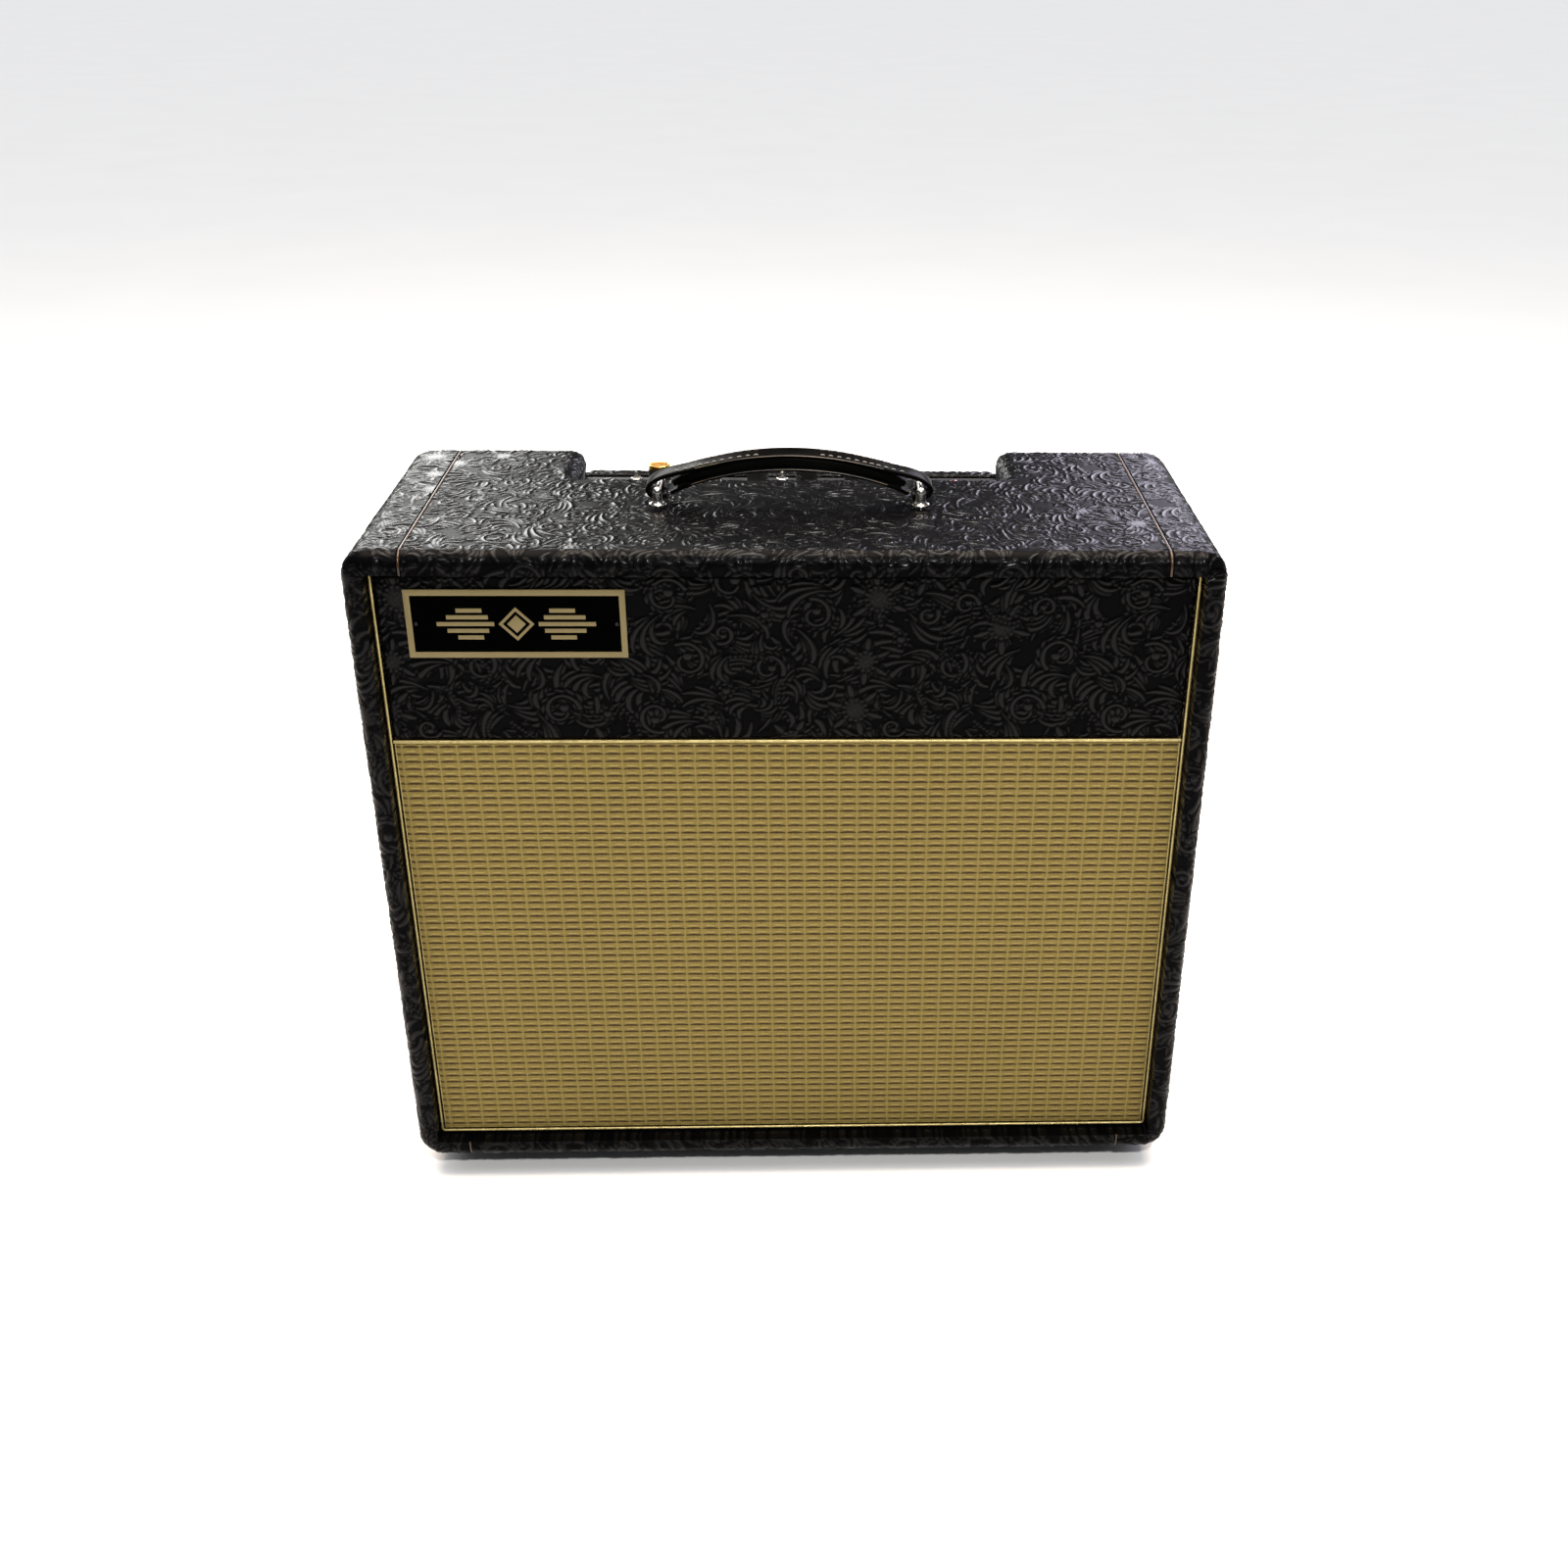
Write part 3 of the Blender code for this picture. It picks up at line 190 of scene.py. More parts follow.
def grille_material():
    """Tan basket weave: arched dark dashes in rows, with a painted highlight over each one."""
    s = Shader("woven_grille", roughness=0.8)
    x, z = s.axis("X"), s.axis("Z")
    wander = s.sum("MULTIPLY", s.sum("SUBTRACT", s.noise(11, 2), 0.5), 0.0009)
    row_place = s.sum("DIVIDE", s.sum("ADD", s.sum("SUBTRACT", z, WEAVE_Z * MM), wander), WEAVE_ROW * MM)
    row = s.sum("FRACT", s.sum("ADD", row_place, 0.5))
    slub = s.sum("MULTIPLY", s.sum("SUBTRACT", s.noise(120, 2), 0.5), 0.16)
    column_place = s.sum("DIVIDE", s.sum("SUBTRACT", x, WEAVE_X * MM), WEAVE_COLUMN * MM)
    column = s.sum("FRACT", s.sum("ADD", column_place, slub))
    middle = s.sum("ABSOLUTE", s.sum("SUBTRACT", column, 0.5))
    arch = s.sum("POWER", s.sum("MULTIPLY", middle, 2.2), 2.0)
    centre = s.sum("ADD", s.sum("SUBTRACT", row, 0.53), s.sum("MULTIPLY", arch, 0.07))
    half = s.sum("ADD", s.sum("MULTIPLY", arch, -0.09), s.spread(s.noise(800, 2), 0.3, 0.7, 0.13, 0.19))
    on_row = s.spread(s.sum("SUBTRACT", s.sum("ABSOLUTE", centre), half), -0.05, 0.05, 1.0, 0.0)
    dash = s.sum("MULTIPLY", on_row, s.spread(middle, 0.41, 0.46, 1.0, 0.35))
    ribs = s.sum("SINE", s.sum("MULTIPLY", x, 2 * math.pi / 0.00102))
    fine = s.sum("SINE", s.sum("MULTIPLY", z, 2 * math.pi / 0.0012))
    tone = s.mix(s.spread(s.noise(420, 3), 0.3, 0.7), TAN_DARK, TAN)
    tone = s.mix(s.spread(s.noise(5, 2), 0.35, 0.65, 0.0, 0.25), tone, TAN_DARK)
    # Painted highlight: a band of TAN_LIGHT just above each dash, where the yarn's crest would catch the
    # light.
    painted_highlight = s.spread(s.sum("ABSOLUTE", s.sum("SUBTRACT", row, 0.93)), 0.03, 0.17, 0.8, 0.0)
    painted_highlight = s.sum("MULTIPLY", painted_highlight, s.spread(middle, 0.16, 0.36, 1.0, 0.12))
    tone = s.mix(painted_highlight, tone, TAN_LIGHT)
    seam = s.spread(middle, 0.455, 0.49, 0.0, 0.35)
    tone = s.mix(seam, tone, TAN_LIGHT)
    tone = s.mix(s.spread(ribs, -1, -0.2, 0.26, 0.0), tone, (0.11, 0.075, 0.018))
    brown = s.mix(s.noise(330, 2), (0.012, 0.006, 0.002), (0.035, 0.018, 0.006))
    s.set("Base Color", s.mix(s.sum("MULTIPLY", dash, 0.9), tone, brown))
    s.set("Specular IOR Level", 0.2)
    weave = s.sum("ADD", s.sum("MULTIPLY", ribs, 0.5), s.sum("MULTIPLY", fine, 0.3))
    first = s.bump(s.sum("SUBTRACT", weave, s.sum("MULTIPLY", dash, 1.4)), 0.14, 0.8)
    s.bump(s.noise(2400, 2), 0.05, 0.5, first)
    return s.material


def bead_material():
    """Gold-coloured braided cord with a soft metallic glint."""
    s = Shader("gold_bead", roughness=0.3, metallic=0.5)
    s.set("Base Color", s.mix(s.spread(s.noise(60, 3), 0.3, 0.7), (0.28, 0.225, 0.08),
                              (0.43, 0.36, 0.155)))
    s.set("Roughness", s.spread(s.noise(260, 2), 0.3, 0.7, 0.22, 0.36))
    s.bump(s.noise(3000, 2), 0.02, 0.3)
    return s.material


def inlay_material():
    """Gold foil piping, its colour painted near black as the shade of its groove."""
    s = Shader("foil_inlay", roughness=0.28, metallic=0.2)
    # Painted shade: the foil's colour is set near black to stand for the shade in the groove.
    s.set("Base Color", s.mix(s.spread(s.noise(90, 3), 0.35, 0.65), (0.020, 0.012, 0.006),
                              (0.055, 0.032, 0.014)))
    s.bump(s.noise(1500, 3), 0.04, 0.5)
    return s.material


def leather_material():
    s = Shader("handle_leather")
    patches = s.noise(30, 4)
    s.set("Base Color", s.mix(s.spread(patches, 0.3, 0.75), (0.0008, 0.0008, 0.0008),
                              (0.0025, 0.0024, 0.0022)))
    s.set("Roughness", s.spread(patches, 0.3, 0.7, 0.20, 0.30))
    s.set("Specular IOR Level", 0.009)
    grain = s.bump(s.cells(950, "SMOOTH_F1"), 0.06, 0.5)
    s.bump(s.noise(500, 3), 0.05, 0.5, grain)
    return s.material


def thread_material():
    s = Shader("waxed_thread", (0.34, 0.32, 0.28), 0.55)
    s.set("Base Color", s.mix(s.noise(500, 2), (0.11, 0.10, 0.085), (0.27, 0.25, 0.22)))
    s.bump(s.noise(4000, 2), 0.05, 0.8)
    return s.material


def edge_highlight_material():
    """The strap's cut edges, coloured tan as painted highlights along them."""
    s = Shader("strap_edge_highlight", (0.2, 0.14, 0.07), 0.4)
    s.set("Base Color", s.mix(s.spread(s.noise(40, 3), 0.4, 0.65), (0.015, 0.011, 0.007),
                              (0.13, 0.095, 0.048)))
    s.bump(s.noise(1800, 3), 0.05, 0.6)
    return s.material


def metal_material(name, low, high, roughness, brushed=None, metallic=1.0):
    """Metal with fine colour variation; brushed is a stretch of the scratches per axis."""
    s = Shader(name, metallic=metallic)
    s.set("Base Color", s.mix(s.noise(35, 3), low, high))
    s.set("Roughness", s.spread(s.noise(120, 3), 0.3, 0.7, roughness, roughness + 0.1))
    lines = s.noise(1.0, 3, s.stretched(brushed)) if brushed else s.noise(1800, 2)
    s.bump(lines, 0.02 if brushed else 0.01, 0.5)
    return s.material


def plastic_material(name, low, high, roughness, grain=2200, depth=0.02, gloss=0.5):
    s = Shader(name)
    s.set("Specular IOR Level", gloss)
    s.set("Base Color", s.mix(s.noise(50, 3), low, high))
    s.set("Roughness", s.spread(s.noise(200, 3), 0.3, 0.7, roughness, roughness + 0.12))
    s.bump(s.noise(grain, 3), depth, 0.7)
    return s.material


def ply_material():
    """Birch ply: long grain on the faces, plies on the edges."""
    s = Shader("birch_ply", roughness=0.6)
    grain = s.noise(1.0, 6, s.stretched((16, 260, 190)), 0.62)
    wide = s.noise(1.0, 3, s.stretched((3, 30, 26)))
    base = s.mix(s.spread(grain, 0.35, 0.65), (0.46, 0.30, 0.155), (0.62, 0.45, 0.255))
    s.set("Base Color", s.mix(s.spread(wide, 0.3, 0.7, 0.0, 0.45), base, (0.38, 0.235, 0.12)))
    s.bump(grain, 0.1, 0.5)
    return s.material


def lamination_material():
    s = Shader("transformer_stack", (0.02, 0.02, 0.022), 0.4)
    leaves = s.sum("SINE", s.sum("MULTIPLY", s.axis("X"), 2 * math.pi / 0.0011))
    s.set("Base Color", s.mix(s.noise(200, 3), (0.012, 0.012, 0.014), (0.045, 0.042, 0.04)))
    s.bump(leaves, 0.25, 0.8)
    return s.material


def paper_material():
    s = Shader("cone_paper", roughness=0.85)
    s.set("Base Color", s.mix(s.noise(160, 5), (0.018, 0.017, 0.016), (0.05, 0.046, 0.042)))
    s.bump(s.noise(1400, 5, rough=0.65), 0.25, 0.8)
    return s.material


def glass_material():
    s = Shader("valve_glass", (0.96, 0.97, 0.98), 0.03)
    s.set("Transmission Weight", 1.0)
    s.set("IOR", 1.08)
    s.set("Base Color", s.mix(s.noise(20, 2), (0.90, 0.93, 0.95), (1.0, 1.0, 1.0)))
    s.bump(s.noise(90, 1), 0.02, 0.2)
    return s.material


def board_material():
    s = Shader("tag_board", roughness=0.5)
    s.set("Base Color", s.mix(s.noise(220, 4), (0.030, 0.022, 0.012), (0.075, 0.052, 0.026)))
    s.bump(s.noise(1200, 3), 0.05, 0.5)
    return s.material


def lens_material():
    s = Shader("lamp_lens", (0.55, 0.012, 0.008), 0.12)
    s.set("Base Color", s.mix(s.noise(60, 1), (0.09, 0.003, 0.002), (0.17, 0.008, 0.006)))
    s.set("Coat Weight", 0.6)
    s.set("Transmission Weight", 0.35)
    return s.material


VINYL = vinyl_material()
GRILLE = grille_material()
BEAD = bead_material()
INLAY = inlay_material()
LEATHER = leather_material()
THREAD = thread_material()
EDGE_HIGHLIGHT = edge_highlight_material()
CHROME = metal_material("chrome", (0.66, 0.65, 0.62), (0.80, 0.78, 0.74), 0.16)
GOLD = metal_material("gold_anodised", (0.86, 0.50, 0.09), (0.98, 0.66, 0.16), 0.2)
# The knob's top face is a darker copy of the cap's gold: painted shade on the top face.
GOLD_FACE = metal_material("gold_face_shaded", (0.46, 0.20, 0.028), (0.62, 0.30, 0.05), 0.3)
BRASS = metal_material("satin_brass", (0.130, 0.100, 0.035), (0.165, 0.128, 0.050), 0.46,
                       (25, 400, 3000), 0.25)
STEEL = metal_material("brushed_steel", (0.42, 0.43, 0.44), (0.58, 0.58, 0.58), 0.3,
                       (20, 900, 900))
# Near-black steel: on the chassis tray it is painted shade for the recess behind the controls; the nameplate
# screws use it for their dark heads.
DARK_STEEL = metal_material("dark_steel", (0.020, 0.020, 0.021), (0.040, 0.040, 0.040), 0.42,
                            (20, 900, 900))
ZINC = metal_material("zinc_plated", (0.45, 0.45, 0.44), (0.66, 0.65, 0.61), 0.26)
PANEL_BLACK = plastic_material("panel_enamel", (0.004, 0.004, 0.005), (0.009, 0.009, 0.010), 0.4,
                               gloss=0.2)
BLACK_STEEL = plastic_material("black_paint", (0.010, 0.010, 0.011), (0.024, 0.024, 0.025), 0.38)
BLACK_PLASTIC = plastic_material("black_plastic", (0.006, 0.006, 0.007), (0.014, 0.014, 0.014), 0.2)
FIELD_BLACK = plastic_material("badge_field", (0.0004, 0.0004, 0.0004), (0.0007, 0.0007, 0.0007), 0.5,
                               gloss=0.0)
RUBBER = plastic_material("black_rubber", (0.012, 0.012, 0.012), (0.028, 0.027, 0.026), 0.7, 900, 0.1)
IVORY = plastic_material("print_white", (0.62, 0.60, 0.54), (0.74, 0.72, 0.66), 0.5)
CERAMIC = plastic_material("ceramic", (0.60, 0.58, 0.54), (0.74, 0.72, 0.68), 0.4)
FIBRE = plastic_material("black_fibre", (0.012, 0.011, 0.010), (0.03, 0.028, 0.025), 0.75, 1500, 0.12)
BLACK_WIRE = plastic_material("wire_black", (0.010, 0.010, 0.011), (0.022, 0.022, 0.022), 0.4)
PLY = ply_material()
STACK = lamination_material()
PAPER = paper_material()
GLASS = glass_material()
TAG_BOARD = board_material()
LENS = lens_material()


# ---------------------------------------------------------------- mesh helpers
def finish_piece(name, mesh, material, body, replaces, sharp):
    if material is not None:
        mesh.materials.append(material)
    mesh.shade_smooth()
    mesh.set_sharp_from_angle(angle=math.radians(sharp))
    piece = bpy.data.objects.new(name, mesh)
    bpy.context.scene.collection.objects.link(piece)
    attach(piece, body)
    if replaces:
        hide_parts(*replaces)
    return piece


def from_lists(name, points, faces, material, body="cabinet", replaces=(), sharp=35, slot=None,
               bevel=0.0):
    """One piece from points in millimetres and faces; bevel rounds its sharp edges."""
    mesh = bpy.data.meshes.new(name)
    mesh.from_pydata((np.asarray(points, float) * MM).tolist(), [], [list(f) for f in faces])
    tidy = bmesh.new()
    tidy.from_mesh(mesh)
    bmesh.ops.recalc_face_normals(tidy, faces=tidy.faces)
    if bevel:
        edges = [e for e in tidy.edges if len(e.link_faces) == 2 and e.calc_face_angle() > 0.6]
        bmesh.ops.bevel(tidy, geom=edges, offset=bevel * MM, segments=2, profile=0.6,
                        affect="EDGES", clamp_overlap=True)
    tidy.to_mesh(mesh)
    tidy.free()
    return finish_piece(name, mesh, material, body, replaces, sharp)


def joined(parts):
    """Several (points, faces) lists as one."""
    points, faces = [], []
    for part_points, part_faces in parts:
        base = len(points)
        points.extend([tuple(p) for p in part_points])
        faces.extend([tuple(base + i for i in face) for face in part_faces])
    return points, faces


def ringed_faces(rings, size):
    """Quads between rings of size points each, and a cap at both ends."""
    faces = []
    for ring in range(rings - 1):
        a, b = ring * size, (ring + 1) * size
        for index in range(size):
            following = (index + 1) % size
            faces.append((a + index, a + following, b + following, b + index))
    faces.append(tuple(range(size)))
    faces.append(tuple((rings - 1) * size + i for i in range(size))[::-1])
    return faces


def box_shape(low, high):
    """A box between two corners."""
    points = [(x, y, z) for x in (low[0], high[0]) for y in (low[1], high[1])
              for z in (low[2], high[2])]
    faces = [(0, 1, 3, 2), (4, 6, 7, 5), (0, 4, 5, 1), (2, 3, 7, 6), (0, 2, 6, 4), (1, 5, 7, 3)]
    return points, faces


def turned_shape(profile, origin, axis="Z", segments=32, lobes=0, lobe_depth=0.0, lobe_range=None):
    """A closed turned form; profile is (radius, height) from one end of the axis to the other.

    lobes flutes are cut lobe_depth deep where the height is inside lobe_range."""
    points, faces, rings = [], [], []
    for radius, height in profile:
        if radius <= 1e-6:
            rings.append([len(points)])
            points.append((0.0, 0.0, height))
            continue
        ring = []
        for index in range(segments):
            angle = 2 * math.pi * index / segments
            here = radius
            if lobes and lobe_range[0] <= height <= lobe_range[1]:
                here -= lobe_depth * (0.5 - 0.5 * math.cos(lobes * angle))
            ring.append(len(points))
            points.append((here * math.cos(angle), here * math.sin(angle), height))
        rings.append(ring)
    for low, high in zip(rings, rings[1:]):
        for index in range(segments):
            following = (index + 1) % segments
            if len(low) == 1 and len(high) > 1:
                faces.append((low[0], high[following], high[index]))
            elif len(high) == 1 and len(low) > 1:
                faces.append((low[index], low[following], high[0]))
            elif len(low) > 1:
                faces.append((low[index], low[following], high[following], high[index]))
    turn = {"Z": lambda p: p, "Y": lambda p: (p[0], p[2], -p[1]), "X": lambda p: (p[2], p[1], -p[0])}[axis]
    placed = [tuple(o + c for o, c in zip(origin, turn(p))) for p in points]
    return placed, faces


def tube_shape(path, radius, sides=8, closed=False, twist=None):
    """A tube along path; twist = (strands, pitch, depth) raises strands that wind round it."""
    path = [Vector(p) for p in path]
    count = len(path)
    points, faces = [], []
    tangents = []
    for index in range(count):
        before = path[index - 1] if (index or closed) else path[index]
        after = path[(index + 1) % count] if (index < count - 1 or closed) else path[index]
        tangents.append((after - before).normalized())
    seed = Vector((0, 1, 0)) if abs(tangents[0].y) < 0.8 else Vector((1, 0, 0))
    normal = (seed - tangents[0] * seed.dot(tangents[0])).normalized()
    run = 0.0
    for index, (place, tangent) in enumerate(zip(path, tangents)):
        if index:
            run += (place - path[index - 1]).length
            normal = (normal - tangent * normal.dot(tangent)).normalized()
        other = tangent.cross(normal)
        for side in range(sides):
            angle = 2 * math.pi * side / sides
            here = radius
            if twist:
                strands, pitch, depth = twist
                phase = strands * (angle + 2 * math.pi * run / pitch)
                here += depth * (abs(math.cos(phase / 2)) - 0.6)
            points.append(place + here * (math.cos(angle) * normal + math.sin(angle) * other))
    rounds = count if closed else count - 1
    for index in range(rounds):
        for side in range(sides):
            a, b = index * sides, ((index + 1) % count) * sides
            following = (side + 1) % sides
            faces.append((a + side, b + side, b + following, a + following))
    if not closed:
        faces.append(tuple(range(sides - 1, -1, -1)))
        faces.append(tuple((count - 1) * sides + side for side in range(sides)))
    return [tuple(p) for p in points], faces


def smooth_path(points, step):
    """Catmull-Rom through points, about step apart."""
    points = [Vector(p) for p in points]
    padded = [2 * points[0] - points[1], *points, 2 * points[-1] - points[-2]]
    found = []
    for a, b, c, d in zip(padded, padded[1:], padded[2:], padded[3:]):
        pieces = max(2, int((c - b).length / step))
        for index in range(pieces):
            t = index / pieces
            found.append(0.5 * (2 * b + (c - a) * t + (2 * a - 5 * b + 4 * c - d) * t * t
                                + (3 * b - 3 * c + d - a) * t ** 3))
    found.append(points[-1])
    return found


def screw_shape(centre, axis, sign, radius):
    """A domed screw head with a cross recess; sign is the way it faces along axis."""
    profile = [(0, -0.4), (radius, -0.4), (radius, 0.1 * radius), (0.86 * radius, 0.42 * radius),
               (0.6 * radius, 0.62 * radius), (0.30 * radius, 0.70 * radius),
               (0.26 * radius, 0.25 * radius), (0, 0.2 * radius)]
    return turned_shape([(r, h * sign) for r, h in profile], centre, axis, 20)


def washer_shape(centre, axis, sign, radius):
    profile = [(0, -0.3), (radius, -0.3), (radius, 0.3), (radius * 0.9, 0.9), (radius * 0.62, 0.8),
               (radius * 0.5, 0.2), (0, 0.2)]
    return turned_shape([(r, h * sign) for r, h in profile], centre, axis, 24)


# ---------------------------------------------------------------- the embossed scrollwork
def window(tile, centre, reach):
    """The periodic relief's cells within reach of a point, and their offsets from it."""
    rows, columns = tile.shape
    column0, row0 = (int(round(value / RELIEF_STEP)) for value in centre)
    span = int(reach / RELIEF_STEP) + 2
    steps = np.arange(-span, span + 1)
    dx = (column0 + steps) * RELIEF_STEP - centre[0]
    dy = (row0 + steps) * RELIEF_STEP - centre[1]
    cells = np.ix_((row0 + steps) % rows, (column0 + steps) % columns)
    return cells, *np.meshgrid(dx, dy)


def stroke(tile, points, widths, height, cut=0.3, rim=1.1):
    """A tapering raised stroke along points: a flat crown, and a cut line round it."""
    points = np.asarray(points, float)
    widths = np.asarray(widths, float)
    centre = (points.min(0) + points.max(0)) / 2
    reach = np.abs(points - centre).max() + widths.max() + rim + 0.6
    cells, dx, dy = window(tile, centre, reach)
    px, py = dx + centre[0], dy + centre[1]
    best = np.full(px.shape, 1e9)
    width = np.full(px.shape, 1e-6)
    for index in range(len(points) - 1):
        a, run = points[index], points[index + 1] - points[index]
        share = ((px - a[0]) * run[0] + (py - a[1]) * run[1]) / max(run @ run, 1e-9)
        share = np.clip(share, 0, 1)
        gap = np.hypot(px - a[0] - share * run[0], py - a[1] - share * run[1])
        here = widths[index] + share * (widths[index + 1] - widths[index])
        closer = gap - here < best
        best = np.where(closer, gap - here, best)
        width = np.where(closer, here, width)
    across = np.clip((best + width) / np.maximum(width, 1e-6), 0, 1)
    level = -0.45 + height * (1 - across ** 3) ** 0.8
    old = tile[cells]
    edge = (best >= 0) & (best < rim)
    groove = -0.45 - cut * np.cos(0.5 * np.pi * np.clip(best / rim, 0, 1))
    tile[cells] = np.where(best < 0, level, np.where(edge, np.minimum(old, groove), old))


def bead(tile, centre, radius, height=0.55):
    """A round dome in a sunk rim."""
    cells, dx, dy = window(tile, centre, radius + 1)
    gap = np.hypot(dx, dy)
    old = tile[cells]
    dome = -0.4 + height * np.sqrt(np.clip(1 - (gap / radius) ** 2, 0, 1))
    rim = (gap >= radius) & (gap < radius + 0.7)
    tile[cells] = np.where(gap < radius, dome, np.where(rim, np.minimum(old, -0.62), old))


def curl(start, heading, length, bend, count=11):
    """Points of a stroke that starts along heading and bends by bend radians in all."""
    points = [np.array(start, float)]
    for index in range(count - 1):
        angle = heading + bend * (index / (count - 2)) ** 1.5
        points.append(points[-1] + length / (count - 1) * np.array([math.cos(angle), math.sin(angle)]))
    return points


def taper(base, middle, tip, count=11):
    share = np.linspace(0, 1, count)
    return np.where(share < 0.7, base + (middle - base) * share / 0.7,
                    middle + (tip - middle) * (share - 0.7) / 0.3)


def leaf(tile, base, heading, length, bend, blades, spread):
    """A plume of long curled flutes that fan out of one stem, the middle one on top."""
    for index in sorted(range(blades), key=lambda i: -abs(i - (blades - 1) / 2)):
        offset = index / max(blades - 1, 1) - 0.5
        reach = length * (1 - 0.75 * abs(offset) ** 1.5)
        stroke(tile, curl(base, heading + spread * offset, reach, bend * (1 + 0.8 * offset)),
               taper(0.6, 1.15 + length * 0.028, 0.8), 0.62)


def scroll(tile, centre, radius, start, turn, blades=9):
    """A spiral stem with flutes along its outside and a boss in its eye."""
    count = 46
    share = np.linspace(0, 1, count)
    angles = start + turn * share * 1.1 * 2 * math.pi
    radii = radius * (1 - 0.76 * share)
    points = np.stack([centre[0] + radii * np.cos(angles), centre[1] + radii * np.sin(angles)], 1)
    for index in range(blades):
        at = int(index * (count * 0.62) / blades)
        tangent = points[at + 1] - points[at]
        heading = math.atan2(tangent[1], tangent[0]) - turn * 0.5
        reach = radius * 0.95 * (1.05 - 0.45 * index / blades)
        stroke(tile, curl(points[at], heading, reach, turn * 1.25),
               taper(0.9, 1.2 + reach * 0.06, 0.8), 0.62)
    stroke(tile, points, np.linspace(1.7, 1.0, count), 0.72, 0.35)
    eye = radius * 0.17 + 0.9
    bead(tile, points[-1], eye, 0.75)


def flower(tile, centre, radius, petals, start):
    """Lobed petals round a large stippled boss ringed with beads."""
    for index in range(petals):
        angle = start + index * 2 * math.pi / petals
        root = (centre[0] + 0.4 * radius * math.cos(angle), centre[1] + 0.4 * radius * math.sin(angle))
        for side in (-1, 1, 0):
            stroke(tile, curl(root, angle + 0.5 * side, radius * (0.68 - 0.1 * abs(side)), -0.9 * side, 7),
                   taper(1.4, radius * 0.125 + 0.3, 1.4, 7), 0.62, 0.25)
    core = radius * 0.46
    for index in range(int(2 * math.pi * core / 4.0)):
        angle = index * 4.0 / core
        bead(tile, (centre[0] + core * math.cos(angle), centre[1] + core * math.sin(angle)), 1.7, 0.6)
    cells, dx, dy = window(tile, centre, core)
    gap = np.hypot(dx, dy)
    dome = -0.32 + 0.3 * np.sqrt(np.clip(1 - (gap / core) ** 2, 0, 1))
    dots = 0.22 * np.sin(dx * 1.5 + np.sin(dy)) * np.sin(dy * 1.6 + np.sin(dx * 0.9))
    tile[cells] = np.where(gap < core - 1.6, dome + dots, tile[cells])


def scroll_relief(seed=4):
    """A periodic field of heights, in millimetres, of dense tooled scrollwork."""
    chance = np.random.default_rng(seed)
    size = np.array([TILE_WIDTH, TILE_HEIGHT])
    tile = np.full((int(TILE_HEIGHT / RELIEF_STEP), int(TILE_WIDTH / RELIEF_STEP)), -0.5)
    taken = []

    def scattered(count, room, tries=4000):
        found = []
        for _ in range(tries):
            place = chance.random(2) * size
            away = [np.abs(place - other) for other, _ in taken]
            near = [np.hypot(*np.minimum(a, size - a)) < (room + r) / 2
                    for a, (_, r) in zip(away, taken)]
            if not any(near):
                found.append(place)
                taken.append((place, room))
            if len(found) == count:
                break
        return found

    big = scattered(19, 46)
    flowers = scattered(11, 38)
    for spot in chance.permutation(22 * 17):
        place = (np.array([spot % 22, spot // 22]) + chance.random(2)) * size / (22, 17)
        leaf(tile, place, chance.random() * 2 * math.pi, chance.uniform(26, 44),
             chance.choice([-1, 1]) * chance.uniform(0.9, 2.2), int(chance.integers(4, 6)),
             chance.uniform(0.5, 0.85))
    for place in flowers:
        flower(tile, place, chance.uniform(15, 19), int(chance.integers(5, 7)), chance.random() * 6.3)
    for place in big:
        scroll(tile, place, chance.uniform(11, 15), chance.random() * 6.3, chance.choice([-1, 1]))
    for index, place in enumerate(scattered(46, 20)):
        turn = chance.choice([-1, 1])
        if index % 3 == 0:
            scroll(tile, place, chance.uniform(7.5, 9.5), chance.random() * 6.3, turn, 6)
        elif index % 3 == 1:
            leaf(tile, place, chance.random() * 6.3, chance.uniform(16, 24), turn * 1.6, 4, 0.8)
        else:
            bead(tile, place, 2.9, 0.7)
            for k in range(7):
                angle = k * 2 * math.pi / 7
                bead(tile, (place[0] + 5 * math.cos(angle), place[1] + 5 * math.sin(angle)), 1.4)
    for _ in range(16):
        for place in curl(chance.random(2) * size, chance.random() * 6.3, chance.uniform(20, 34),
                          chance.uniform(-1.8, 1.8), 9):
            bead(tile, place, 1.4)
    for _ in range(2):
        soft = sum(np.roll(tile, shift, (0, 1)) for shift in ((1, 0), (-1, 0), (0, 1), (0, -1)))
        tile = 0.5 * tile + 0.125 * soft
    return tile + 0.03


RELIEF = scroll_relief()


def relief_at(u, v):
    """Relief heights, bilinear, at arrays of places in millimetres."""
    rows, columns = RELIEF.shape
    column, row = np.asarray(u) / RELIEF_STEP, np.asarray(v) / RELIEF_STEP
    c0, r0 = np.floor(column).astype(int), np.floor(row).astype(int)
    fc, fr = column - c0, row - r0
    c0, r0, c1, r1 = c0 % columns, r0 % rows, (c0 + 1) % columns, (r0 + 1) % rows
    low = RELIEF[r0, c0] * (1 - fc) + RELIEF[r0, c1] * fc
    high = RELIEF[r1, c0] * (1 - fc) + RELIEF[r1, c1] * fc
    return low * (1 - fr) + high * fr


